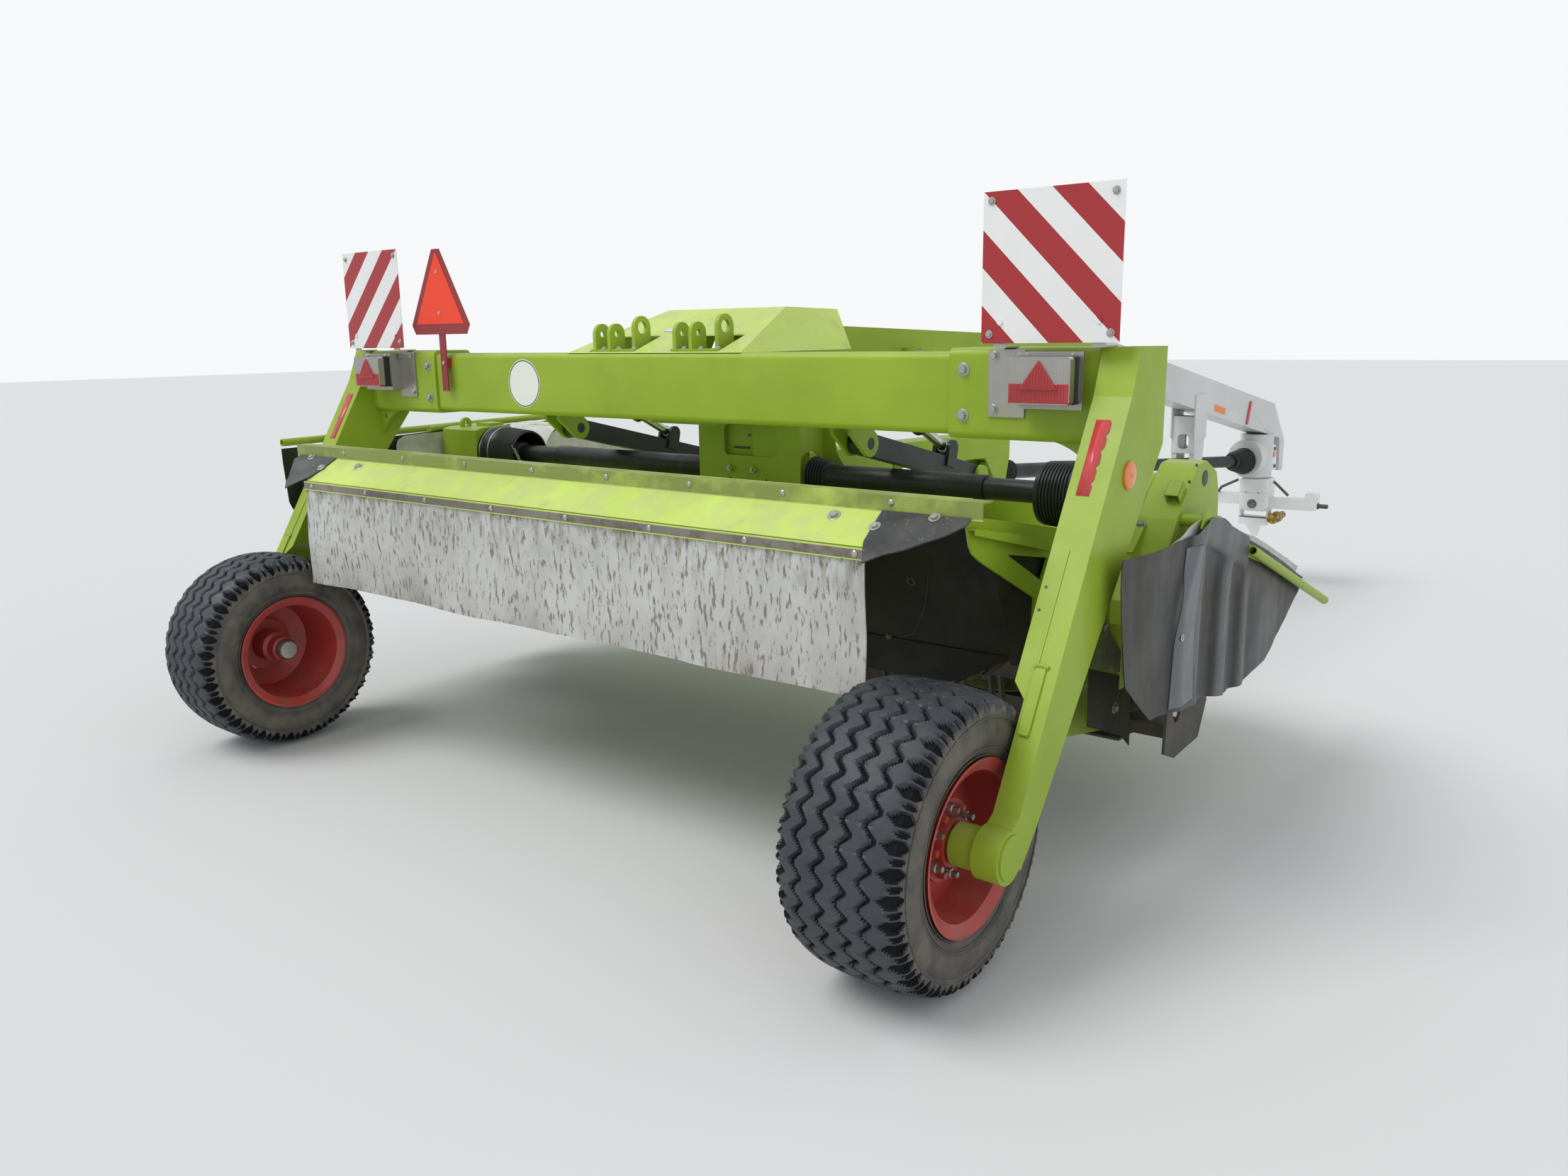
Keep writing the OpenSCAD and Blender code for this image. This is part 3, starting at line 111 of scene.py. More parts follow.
# ---- materials
class Tree:
    """Short calls for the nodes of one material."""

    def __init__(self, material):
        material.use_nodes = True
        self.nodes, self.links = material.node_tree.nodes, material.node_tree.links
        self.place = self.new("TexCoord").outputs["Object"]

    def new(self, kind, **settings):
        node = self.nodes.new("ShaderNode" + kind)
        for name, value in settings.items():
            setattr(node, name, value)
        return node

    def put(self, socket, value):
        """Link a socket to another, or give it a number, a vector or a colour."""
        if isinstance(value, bpy.types.NodeSocket):
            self.links.new(value, socket)
        elif isinstance(value, tuple) and len(socket.default_value) == 4:
            socket.default_value = (*value, 1)
        else:
            socket.default_value = value

    def axis(self, name, source=None):
        node = self.new("SeparateXYZ")
        self.put(node.inputs[0], source or self.place)
        return node.outputs[name]

    def ramp(self, value, lo, hi, kind="LINEAR"):
        node = self.new("MapRange", interpolation_type=kind, clamp=True)
        for name, v in (("Value", value), ("From Min", lo), ("From Max", hi)):
            self.put(node.inputs[name], v)
        return node.outputs[0]

    def calc(self, kind, a, b=0.0, clamp=False):
        node = self.new("Math", operation=kind, use_clamp=clamp)
        self.put(node.inputs[0], a)
        self.put(node.inputs[1], b)
        return node.outputs[0]

    def mul(self, a, b):
        return self.calc("MULTIPLY", a, b, True)

    def vector(self, kind, a, b=(0, 0, 0)):
        node = self.new("VectorMath", operation=kind)
        self.put(node.inputs[0], a)
        self.put(node.inputs[1], b)
        return node.outputs["Value" if kind == "LENGTH" else "Vector"]

    def mix(self, share, a, b):
        node = self.new("Mix", data_type="RGBA")
        for i, v in ((0, share), (6, a), (7, b)):
            self.put(node.inputs[i], v)
        return node.outputs[2]

    def noise(self, scale, detail, lo, hi, stretch=None):
        source = self.place
        if stretch:
            node = self.new("Mapping")
            self.put(node.inputs["Vector"], source)
            self.put(node.inputs["Scale"], stretch)
            source = node.outputs[0]
        node = self.new("TexNoise")
        for name, v in (("Vector", source), ("Scale", scale), ("Detail", detail), ("Roughness", 0.6)):
            self.put(node.inputs[name], v)
        return self.ramp(node.outputs["Fac"], lo, hi)


DUST, CHIP = (0.42, 0.38, 0.29), (0.16, 0.13, 0.09)
M = {}


def mat(key, name, base, rough, metal=0.0, coat=0.0, sheen=0.0, spec=0.5, var=0.1, vscale=2.2, layers=(),
        dust=0.0, chips=0.0, bump=0.02, bscale=60):
    """Principled material with large and fine variation, dust on upward faces and a little bump."""
    m = M[key] = bpy.data.materials.new(name)
    t = Tree(m)
    b = t.nodes["Principled BSDF"]
    for socket, v in (("Metallic", metal), ("Coat Weight", coat), ("Coat Roughness", 0.12),
                      ("Sheen Weight", sheen), ("Specular IOR Level", spec)):
        b.inputs[socket].default_value = v
    dark = tuple(c * (1 - var) for c in base)
    light = tuple(min(1, c * (1 + var) + 0.01) for c in base)
    out = t.mix(t.noise(vscale, 4, 0.35, 0.65), dark, light)
    for layer in layers:
        out = layer(t, out)
    if dust:
        up_face = t.ramp(t.axis("Z", t.new("NewGeometry").outputs["Normal"]), 0.35, 1.0)
        out = t.mix(t.mul(t.mul(up_face, t.noise(9, 6, 0.4, 0.68)), dust), out, DUST)
    if chips:
        out = t.mix(t.mul(t.noise(85, 3, 0.7, 0.74), chips), out, CHIP)
    t.put(b.inputs["Base Color"], out)
    range_ = t.new("MapRange")
    range_.inputs["To Min"].default_value = max(0.03, rough - 0.08)
    range_.inputs["To Max"].default_value = min(1, rough + 0.08)
    t.put(range_.inputs["Value"], t.noise(6, 5, 0.3, 0.7))
    t.put(b.inputs["Roughness"], range_.outputs[0])
    node = t.new("Bump")
    node.inputs["Strength"].default_value = 0.3
    node.inputs["Distance"].default_value = bump / 10
    t.put(node.inputs["Height"], t.noise(bscale, 4, 0, 1))
    t.put(b.inputs["Normal"], node.outputs[0])


def stains_and_shade(colour, scale, lo, hi, amount, stretch=None, heights=None):
    """A layer of blotches or runs of one colour, used for stains and also for painted shade; heights is where it
    begins and where it is full.
    """

    def layer(t, under):
        share = t.mul(t.noise(scale, 7, lo, hi, stretch), amount)
        if heights:
            share = t.mul(share, t.ramp(t.axis("Z"), *heights))
        return t.mix(share, under, colour)

    return layer


def painted_ridge_sheen(colour, x_on, x_full):
    """Painted sheen: a lighter layer on the parts of the side cloths that stand out, to either side."""

    def layer(t, under):
        return t.mix(t.ramp(t.calc("ABSOLUTE", t.axis("X")), x_on, x_full, "SMOOTHSTEP"), under, colour)

    return layer


def round_axle(colour, r_on, r_full, amount, scale):
    """A layer that comes in with the distance from the wheel's axle."""

    def layer(t, under):
        flat = t.vector("MULTIPLY", t.vector("SUBTRACT", t.place, tuple(P(0, AXLE_Y, AXLE_Z))), (0, 1, 1))
        share = t.mul(t.ramp(t.vector("LENGTH", flat), r_on, r_full), t.noise(scale, 6, 0.25, 0.6))
        return t.mix(t.mul(share, amount), under, colour)

    return layer


def stripes(colour, width, slope, back_y, back):
    """Diagonal stripes on a board in the XZ plane; whatever lies ahead of back_y is bare metal."""

    def layer(t, under):
        across = t.calc("ADD", t.calc("MULTIPLY", t.axis("X"), slope), t.axis("Z"))
        turn = t.calc("FRACT", t.calc("DIVIDE", t.calc("ADD", across, 20.0 * width + 0.155), 2 * width))
        out = t.mix(t.calc("GREATER_THAN", turn, 0.5), under, colour)
        return t.mix(t.calc("GREATER_THAN", t.axis("Y"), back_y), out, back)

    return layer


LIME = (0.295, 0.412, 0.026)
PALE = (0.52, 0.655, 0.12)
mat("lime", "lime paint", LIME, 0.44, coat=0.06, spec=0.3, var=0.07, dust=0.22, chips=0.1, bump=0.006,
    layers=(stains_and_shade((0.22, 0.25, 0.06), 3.1, 0.58, 0.8, 0.35),))
mat("pale", "pale lime paint", PALE, 0.44, coat=0.06, spec=0.32, var=0.06, dust=0.45, chips=0.35, bump=0.008,
    layers=(stains_and_shade((0.3, 0.27, 0.1), 7.0, 0.6, 0.78, 0.5, (1, 1, 0.35)),))
# Rear panel: the pale paint again, plus a darker lime layer from 1.2035 m up that is painted shade on the upright
# strip under the lip.
mat("panel", "rear panel paint", PALE, 0.44, coat=0.06, spec=0.32, var=0.06, dust=0.45, chips=0.35, bump=0.008,
    layers=(stains_and_shade((0.3, 0.27, 0.1), 7.0, 0.6, 0.78, 0.5, (1, 1, 0.35)),
            stains_and_shade((0.18, 0.215, 0.055), 5.0, 0.2, 0.48, 0.85, None, (1.2035, 1.2085))))
mat("grey", "pale grey paint", (0.6, 0.61, 0.6), 0.42, coat=0.15, var=0.05, dust=0.25, chips=0.25, bump=0.006)
mat("white", "white paint", (0.74, 0.75, 0.74), 0.38, coat=0.2, var=0.05, dust=0.25, chips=0.3, bump=0.006)
mat("black", "black paint", (0.014, 0.015, 0.016), 0.42, coat=0.1, var=0.2, dust=0.22, spec=0.4, bump=0.006)
mat("chrome", "chromed bar", (0.6, 0.6, 0.61), 0.14, 1.0, var=0.05, bump=0.002)
mat("dark", "worn dark steel", (0.075, 0.072, 0.062), 0.62, 0.35, var=0.3, dust=0.6, bump=0.03,
    layers=(stains_and_shade((0.17, 0.1, 0.05), 8.0, 0.5, 0.72, 0.7),))
mat("guard", "guard plastic", (0.011, 0.014, 0.014), 0.42, var=0.2, dust=0.12, spec=0.35, bump=0.01,
    layers=(stains_and_shade((0.06, 0.058, 0.05), 14.0, 0.52, 0.7, 0.35),))
# Near-black rubber for the tread's grooves, darker than the tyre: painted shade in the grooves.
mat("groove", "tyre groove painted shade", (0.004, 0.005, 0.007), 0.8, var=0.2, spec=0.15)
mat("rubber", "black rubber", (0.022, 0.023, 0.024), 0.56, var=0.25, dust=0.12,
    layers=(stains_and_shade((0.13, 0.13, 0.12), 5.0, 0.46, 0.7, 0.4),
            stains_and_shade((0.34, 0.33, 0.3), 60.0, 0.63, 0.7, 0.55, (1, 0.35, 1))))
mat("galv", "dirty galvanised strip", (0.235, 0.215, 0.185), 0.55, 0.55, var=0.16, dust=0.25, bscale=130,
    layers=(stains_and_shade((0.11, 0.075, 0.045), 16.0, 0.5, 0.66, 0.65),
            stains_and_shade((0.4, 0.38, 0.35), 30.0, 0.6, 0.74, 0.5)))
# Lime paint darkened overall, with dark brown blotches and lighter lime spots.
mat("grime", "darkened lime paint", (0.2, 0.235, 0.045), 0.6, var=0.22, dust=0.45,
    layers=(stains_and_shade((0.075, 0.07, 0.045), 5.0, 0.4, 0.62, 0.8),
            stains_and_shade((0.3, 0.36, 0.05), 12.0, 0.56, 0.7, 0.45)))
# Near-black board: the boards' dark steel, darkened further as painted shade of the shadowed underside of the
# deck.
mat("board", "dark crop board", (0.017, 0.018, 0.012), 0.7, var=0.3, spec=0.2,
    layers=(stains_and_shade((0.045, 0.05, 0.014), 3.0, 0.44, 0.66, 0.7),
            stains_and_shade((0.036, 0.028, 0.018), 14.0, 0.48, 0.66, 0.6)))
mat("tyre", "tyre rubber", (0.027, 0.032, 0.041), 0.55, var=0.18, bscale=90,
    layers=(stains_and_shade((0.1, 0.095, 0.085), 9.0, 0.5, 0.7, 0.35),
            round_axle((0.145, 0.125, 0.095), 0.374, 0.352, 0.85, 11.0),
            stains_and_shade((0.5, 0.49, 0.46), 70.0, 0.72, 0.78, 0.5)))
mat("rim", "rim paint", (0.4, 0.04, 0.03), 0.42, coat=0.15, var=0.14, dust=0.2, chips=0.3, bump=0.01,
    layers=(stains_and_shade((0.16, 0.07, 0.04), 12.0, 0.52, 0.7, 0.6),))
mat("zinc", "zinc plate", (0.42, 0.42, 0.39), 0.36, 0.85, var=0.08, bump=0.004,
    layers=(stains_and_shade((0.42, 0.36, 0.26), 11.0, 0.42, 0.66, 0.55),
            stains_and_shade((0.4, 0.37, 0.44), 17.0, 0.48, 0.66, 0.45)))
mat("lamp", "red lens", (0.42, 0.012, 0.016), 0.16, coat=0.6, var=0.08, bump=0.01, bscale=140)
mat("clear", "clear lens", (0.62, 0.6, 0.58), 0.12, coat=0.6, var=0.04, bump=0.01, bscale=140)
mat("amber", "amber reflector", (0.8, 0.2, 0.02), 0.22, coat=0.5, var=0.05, bscale=160)
mat("yellow", "worn yellow plastic", (0.42, 0.27, 0.02), 0.45, var=0.2, dust=0.3, bump=0.015,
    layers=(stains_and_shade((0.02, 0.018, 0.014), 30.0, 0.44, 0.56, 0.9),))
mat("tape", "red tape", (0.62, 0.055, 0.06), 0.3, coat=0.3, var=0.05, bump=0.01, bscale=300)
mat("orange", "sign orange", (0.88, 0.055, 0.016), 0.34, spec=0.3, var=0.03, bump=0.004)
mat("maroon", "sign border", (0.27, 0.016, 0.018), 0.36, var=0.05, bump=0.006, bscale=300)
mat("plain", "plain white plate", (0.8, 0.8, 0.78), 0.34, var=0.02, bump=0.002)
mat("steel", "bolt steel", (0.46, 0.45, 0.42), 0.33, 0.9, var=0.12, bump=0.01, bscale=200)
mat("skirt", "coated skirt cloth", (0.52, 0.52, 0.5), 0.5, sheen=0.05, var=0.05, bump=0.01, bscale=260,
    layers=(stains_and_shade((0.24, 0.21, 0.17), 14.0, 0.42, 0.76, 0.32, (0.8, 0.8, 0.3)),
            stains_and_shade((0.13, 0.1, 0.075), 80.0, 0.555, 0.61, 0.8, (1, 1, 0.26)),
            stains_and_shade((0.17, 0.17, 0.09), 30.0, 0.46, 0.62, 0.9, (1, 1, 0.35), (0.95, 1.12)),
            stains_and_shade((0.19, 0.16, 0.11), 4.0, 0.4, 0.7, 0.75, (1, 1, 0.5), (0.86, 0.68))))
mat("canvas", "white canvas", (0.62, 0.61, 0.58), 0.6, sheen=0.1, var=0.08, bump=0.01, bscale=300,
    layers=(stains_and_shade((0.3, 0.27, 0.2), 9.0, 0.46, 0.74, 0.6),))
# Dark coated cloth; its first layer is a painted sheen, lighter grey on the folds that stand out.
mat("vinyl", "dark coated cloth", (0.02, 0.021, 0.02), 0.42, spec=0.32, var=0.2, bump=0.012, bscale=320,
    vscale=3.0, layers=(painted_ridge_sheen((0.13, 0.137, 0.143), 1.96, 1.976),
            stains_and_shade((0.034, 0.029, 0.019), 3.2, 0.44, 0.6, 0.7, (1, 1, 0.6)),
            stains_and_shade((0.12, 0.108, 0.088), 11.0, 0.56, 0.74, 0.4, (1, 1, 0.3)),
            stains_and_shade((0.045, 0.036, 0.026), 45.0, 0.56, 0.66, 0.45)))
mat("strap", "dark strap", (0.125, 0.132, 0.145), 0.36, var=0.12, bump=0.01, bscale=320,
    layers=(stains_and_shade((0.06, 0.062, 0.066), 9.0, 0.46, 0.66, 0.6, (1, 1, 0.25)),))
BARE = (0.36, 0.36, 0.34)
for side, slope in SIDES:
    mat("board_" + side, "striped board " + side, (0.8, 0.8, 0.79), 0.32, var=0.03, coat=0.2, bump=0.003,
        layers=(stripes((0.38, 0.018, 0.022), 0.105, slope, P(0, -61.8, 0).y, BARE),))

NODES_OF = {
    "pale": "pivot_hood deck_cover", "panel": "rear_cover", "zinc": "lamp_left lamp_right stand_leg",
    "maroon": "slow_sign", "board_left": "board_left", "board_right": "board_right", "white": "hitch_head",
    "rim": "rim_left rim_right", "grey": "drawbar_front", "skirt": "rear_skirt", "board": "swath_boards",
    "guard": "drawbar_shaft cross_shaft_left cross_shaft_right shaft_cowls", "rubber": "flap_left flap_right",
    "black": "swing_barrel lift_arm_left lift_arm_right upper_link lift_barrel_left lift_barrel_right",
    "chrome": "swing_rod lift_rod_left lift_rod_right", "vinyl": "curtain_left curtain_right",
    "tyre": "tyre_left tyre_right", "canvas": "canvas_left canvas_right",
    "dark": "cutter_bar conditioner disc_1 disc_2 disc_3 disc_4 disc_5 disc_6 disc_7 disc_8 disc_9",
}
node_mat = {node: key for key, nodes in NODES_OF.items() for node in nodes.split()}
for name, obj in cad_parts.items():
    obj.data.materials.clear()
    obj.data.materials.append(M[node_mat.get(name, "lime")])


# ---- mesh helpers
MATERIALS_OF = {
    "zinc": "steel galv zinc", "white_paint": "plain clear", "black_paint": "black", "sign_plastic": "orange",
    "lamp_plastic": "lamp amber tape", "lime_paint": "lime grime", "grey_paint": "grey white", "tyre": "tyre",
    "skirt_vinyl": "skirt canvas", "rubber": "rubber", "dark_vinyl": "vinyl strap", "guard_plastic": "guard",
    "dark_steel": "board dark yellow",
}
slot_of = {key: slot for slot, keys in MATERIALS_OF.items() for key in keys.split()}


def make(name, bm, material, body, slot=None, smooth=30, bevel=0.0):
    """One visible piece on its body; a slot is worked out from the material unless one is given, and then not
    used.
    """
    bmesh.ops.recalc_face_normals(bm, faces=bm.faces)
    me = bpy.data.meshes.new(name)
    bm.to_mesh(me)
    bm.free()
    o = bpy.data.objects.new(name, me)
    scene.collection.objects.link(o)
    me.materials.append(M[material])
    me.polygons.foreach_set("use_smooth", [True] * len(me.polygons))
    if smooth:
        me.set_sharp_from_angle(angle=radians(smooth))
    if bevel:
        md = o.modifiers.new("bevel", "BEVEL")
        md.width = bevel
        md.segments = 2
        md.limit_method = "ANGLE"
    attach(o, body)
    slot = slot or slot_of[material]
    return o


def piece(name, material, body, shape, *args, **settings):
    """A piece of one shape: the helper below that draws it, and what that helper takes."""
    bm = bmesh.new()
    shape(bm, *args)
    return make(name, bm, material, body, **settings)


def frame_of(axis):
    """Two directions across an axis, and the axis itself."""
    z = Vector(axis).normalized()
    x = Vector(UP if abs(z.z) < 0.9 else RIGHT).cross(z)
    x.normalize()
    return x, z.cross(x), z


def clip(t):
    """t, kept between 0 and 1."""
    return max(0.0, min(1.0, t))


def step(a, b, t):
    """0 up to a, 1 from b on, and a soft rise between them."""
    t = clip((t - a) / (b - a))
    return t * t * (3 - 2 * t)


def ripple(x, y, z):
    """Smooth noise between -1 and 1."""
    return noise.noise(Vector((x, y, z)))


def turns(n):
    """Angles of n equal steps round a circle."""
    return [2 * pi * k / n for k in range(n)]


def along(table, y):
    """The height at y on a line of (y, height)."""
    for (a, za), (b, zb) in zip(table, table[1:]):
        if y <= b:
            return za + (zb - za) * max(0.0, y - a) / (b - a)
    return table[-1][1]


def plate(bm, x0, x1, y0, y1, z0, z1):
    """Box between two machine-frame corners in millimetres."""
    prism(bm, [P(x0, y0, z0), P(x1, y0, z0), P(x1, y1, z0), P(x0, y1, z0)], Vector((0, 0, (z1 - z0) / 1000)))


def lathe(bm, origin, axis, profile, n=40, start=0.0):
    """Closed surface of revolution; profile is (distance along the axis, radius), in metres."""
    x, y, z = frame_of(axis)
    rings = []
    for d, r in profile:
        if r < 1e-6:
            rings.append([bm.verts.new(origin + z * d)])
        else:
            rings.append([bm.verts.new(origin + z * d + (x * cos(a) + y * sin(a)) * r)
                          for a in (start + turn for turn in turns(n))])
    for a, b in zip(rings, rings[1:]):
        for k in range(n):
            q = [a[k % len(a)], a[(k + 1) % len(a)], b[(k + 1) % len(b)], b[k % len(b)]]
            q = [v for i, v in enumerate(q) if v not in q[:i]]
            if len(q) > 2:
                bm.faces.new(q)


def tube(bm, pts, r, n=12, closed_ends=True):
    """Round tube along points, with parallel-carried rings."""
    pts = [Vector(p) for p in pts]
    t0 = (pts[1] - pts[0]).normalized()
    x, y, _ = frame_of(t0)
    rings = []
    for i, p in enumerate(pts):
        t = (pts[min(i + 1, len(pts) - 1)] - pts[max(i - 1, 0)]).normalized()
        q = t0.rotation_difference(t)
        x, y = q @ x, q @ y
        t0 = t
        rings.append([bm.verts.new(p + (x * cos(a) + y * sin(a)) * r) for a in turns(n)])
    for a, b in zip(rings, rings[1:]):
        for k in range(n):
            bm.faces.new((a[k], a[(k + 1) % n], b[(k + 1) % n], b[k]))
    if closed_ends:
        bm.faces.new(rings[0][::-1])
        bm.faces.new(rings[-1])


def spline(pts, n=10):
    """Catmull-Rom points through a short list."""
    pts = [Vector(p) for p in pts]
    ext = [2 * pts[0] - pts[1]] + pts + [2 * pts[-1] - pts[-2]]
    out = []
    for i in range(1, len(ext) - 2):
        a, b, c, d = ext[i - 1:i + 3]
        for k in range(n):
            t = k / n
            out.append(0.5 * (2 * b + (c - a) * t + (2 * a - 5 * b + 4 * c - d) * t * t
                              + (3 * b - a - 3 * c + d) * t ** 3))
    out.append(pts[-1])
    return out


def prism(bm, pts, off):
    """Closed prism on a polygon of points, thick along the vector off."""
    lo = [bm.verts.new(Vector(p)) for p in pts]
    hi = [bm.verts.new(Vector(p) + off) for p in pts]
    bm.faces.new(lo)
    bm.faces.new(hi[::-1])
    for i in range(len(pts)):
        j = (i + 1) % len(pts)
        bm.faces.new((lo[i], lo[j], hi[j], hi[i]))


def bolt(bm, p, axis, r=0.011, h=0.009, washer=True, dome=False):
    """Hexagon bolt head on its washer, or a dome head."""
    z = Vector(axis).normalized()
    w = 0.0025 if washer else 0.0
    if washer:
        lathe(bm, p, z, [(0, 0), (0, r * 1.55), (w * 0.7, r * 1.55), (w, r * 1.45), (w, 0)], 20)
    if dome:
        lathe(bm, p, z, [(0, 0), (0, r), (h * 0.4, r * 0.96), (h * 0.8, r * 0.62), (h, 0)], 20)
    else:
        lathe(bm, p, z, [(w, 0), (w, r * 0.98), (w + h * 0.85, r), (w + h, r * 0.86), (w + h, 0)], 6, 0.3)


def bolts(name, material, body, *rows):
    """One piece of bolts; each row is (points, axis, radius, height), and washer and dome where they differ."""
    bm = bmesh.new()
    for points, *rest in rows:
        for p in points:
            bolt(bm, p, *rest)
    make(name, bm, material, body)


def disc(bm, p, axis, r, h, n):
    """Flat disc of radius r and height h, in metres."""
    lathe(bm, p, axis, [(0, 0), (0, r), (h, r), (h, 0)], n)


def band(bm, p, axis, r0, r1, d0, d1, n):
    """Flat ring between two radii, from d0 to d1 along the axis, in metres."""
    lathe(bm, p, axis, [(d0, r0), (d0, r1), (d1, r1), (d1, r0), (d0, r0)], n)


def end_plate(bm, x, outline, thick):
    """Plate on an outline of (y, z), from x towards +X, in millimetres."""
    prism(bm, [P(x, y, z) for y, z in outline], Vector((thick / 1000, 0, 0)))


def bellows(r0, r1, d0, d1, n, depth):
    """Profile points of ribbed bellows from d0 to d1."""
    out = []
    for i in range(n):
        for k, q in ((0.0, -depth), (0.25, 0.0), (0.55, 0.0), (0.8, -depth)):
            t = (i + k) / n
            out.append((d0 + (d1 - d0) * t, r0 + (r1 - r0) * t + q))
    out.append((d1, r1 - depth))
    return out


# ---- tyres
GROOVE_DEPTH = 0.0045


def make_tyre(side, s):
    R, half = AXLE_Z / 1000, 0.163
    centre = P(s * AXLE_X, AXLE_Y, AXLE_Z)
    wall = [(-0.152 - 0.034 * sin(a * 2.2), 0.216 + 0.12 * a, 0.0, 0.0) for a in (t / 8 for t in range(9))]
    # Shoulder from the tread's edge down the wall: (x, r, notch depth, notch width)
    shoulder = [(-0.1848, 0.343, 0.0, 0.0), (-0.1846, 0.349, 0.45, 0.08), (-0.1838, 0.356, 0.9, 0.15),
                (-0.182, 0.363, 1.2, 0.21), (-0.1795, 0.37, 1.3, 0.26), (-0.1755, 0.3765, 1.3, 0.29),
                (-0.17, 0.382, 1.2, 0.29)]
    prof = [(*q, 0) for q in wall + shoulder]
    n_tread = 56
    for t in range(n_tread + 1):
        u = -1 + 2 * t / n_tread
        prof.append((half * u, R - 0.0165 * u ** 4 - 0.003 * u * u, 1.2, 0.28, 1))
    prof += [(-x, r, w, q, 0) for x, r, w, q in (wall + shoulder)[::-1]]
    prof += [(0.13, 0.214, 0, 0, 0), (0.0, 0.214, 0, 0, 0), (-0.13, 0.214, 0, 0, 0)]
    N, teeth = 504, 36
    bm = bmesh.new()
    rings, depths = [], []
    for k in range(N):
        a = 2 * pi * k / N
        ph = (k * teeth / N) % 1.0
        zig = max(-1.0, min(1.0, 1.35 * (abs(ph - 0.5) * 4 - 1)))
        ring, cut = [], []
        for x, r, w, wide, tread in prof:
            d = 0.0
            u = x / half
            if tread:
                # Four zigzag grooves and a fine cut beside each bend of the middle ribs
                for g in (-0.6, -0.2, 0.2, 0.6):
                    e = abs(u - g - 0.085 * zig)
                    d = max(d, 0.0115 * clip((0.05 - e) / 0.012))
                    if e < 0.14 and abs(ph - 0.5) < 0.05:
                        d = max(d, 0.003)
            if w and abs(u) > 0.78:
                # A wide notch and a narrow one in the shoulder at every tooth
                q = abs((ph + 0.5) % 1.0 - 0.5)
                reach = step(0.78, 0.98, abs(u))
                d = max(d, 0.0125 * w * clip((wide * reach - q) / 0.05))
                q = abs(ph - 0.5)
                reach = step(0.9, 1.05, abs(u))
                d = max(d, 0.0075 * w * clip((wide * 0.5 * reach - q) / 0.04))
            inward = 0.0 if tread else 0.55 * d
            cut.append(d)
            at = Vector((x - copysign(inward, x), (r - d) * cos(a), (r - d) * sin(a)))
            ring.append(bm.verts.new(centre + at))
        rings.append(ring)
        depths.append(cut)
    m = len(prof)
    for k in range(N):
        a, b = rings[k], rings[(k + 1) % N]
        for i in range(m):
            f = bm.faces.new((a[i], a[(i + 1) % m], b[(i + 1) % m], b[i]))
            # Faces cut deeper than GROOVE_DEPTH take the near-black groove material: painted shade in the
            # grooves.
            f.material_index = int(min(depths[k][i], depths[k][(i + 1) % m]) > GROOVE_DEPTH)
    o = make("tread_" + side, bm, "tyre", "wheel_" + side, smooth=38)
    o.data.materials.append(M["groove"])
    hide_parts("tyre_" + side)
    bm = bmesh.new()
    # Raised rings on the sidewalls
    for sx in (-1, 1):
        for r0, x0 in ((0.24, 0.1722), (0.262, 0.179), (0.269, 0.1806), (0.276, 0.1822), (0.3425, 0.1868)):
            pts = [centre + Vector((sx * x0, r0 * cos(a), r0 * sin(a)))
                   for a in (2 * pi * k / 96 for k in range(97))]
            tube(bm, pts, 0.0018, 6, False)
    make("tyre_rings_" + side, bm, "tyre", "wheel_" + side)
    bm = bmesh.new()
    for k in range(6):
        a = radians(30 + 60 * k)
        c = centre + Vector((s * 0.094, 0.089 * cos(a), 0.089 * sin(a)))
        lathe(bm, c, (s, 0, 0), [(0, 0), (0, 0.0165), (0.006, 0.0165), (0.016, 0.014), (0.018, 0.01),
                                 (0.034, 0.0085), (0.034, 0)], 6)
    lathe(bm, centre + Vector((-s * 0.096, 0, 0)), (-s, 0, 0),
          [(0, 0), (0, 0.046), (0.012, 0.045), (0.028, 0.036), (0.032, 0)], 28)
    make("wheel_nuts_" + side, bm, "steel", "wheel_" + side)


for side, s in SIDES:
    make_tyre(side, s)

# ---- chassis details
corners = [(s * 1352, z) for s in (-1, 1) for z in (1440, 1578)]
bolts("frame_bolts", "steel", "frame",
      ([P(x, -9, z) for x, z in corners], BACKWARD, 0.0135, 0.011),
      ([P(x, 187, z) for x, z in corners], FORWARD, 0.0135, 0.011),
      ([P(x, 466, 1154) for x in (-8, 114)], BACKWARD, 0.0085, 0.007))

# Blank round speed plate with a dark ring, on the beam's rear face
SPEED_PLATE = P(-712, -0.3, 1508)
piece("round_plate", "plain", "frame", disc, SPEED_PLATE, BACKWARD, 0.098, 0.0012, 64)
piece("round_plate_ring", "black", "frame", band, SPEED_PLATE, BACKWARD, 0.091, 0.0945, 0.0012, 0.0019, 64)

# Sign: orange triangle standing a little proud of its dark border
SIGN_X, SIGN_Z = -1210, 1712
piece("sign_face", "orange", "frame", prism,
      [P(SIGN_X + x, -30.2, SIGN_Z + z) for x, z in ((-166, 44), (166, 44), (4, 340), (-4, 340))],
      Vector((0, -0.0012, 0)))
bolts("sign_bolts", "steel", "frame",
      ([P(SIGN_X, -31.4, SIGN_Z + z) for z in (90, 262)], BACKWARD, 0.005, 0.003, True, True),
      ([P(SIGN_X, -21, 1590)], BACKWARD, 0.009, 0.007))

BOARD_X, BOARD_Z, BOARD_SIZE, BOLT_IN = 1440, 1656, 423, 26
LAMP_X, LAMP_Y, LAMP_Z, LAMP_WIDE, LAMP_HIGH = 1559, -96, 1486, 192, 134
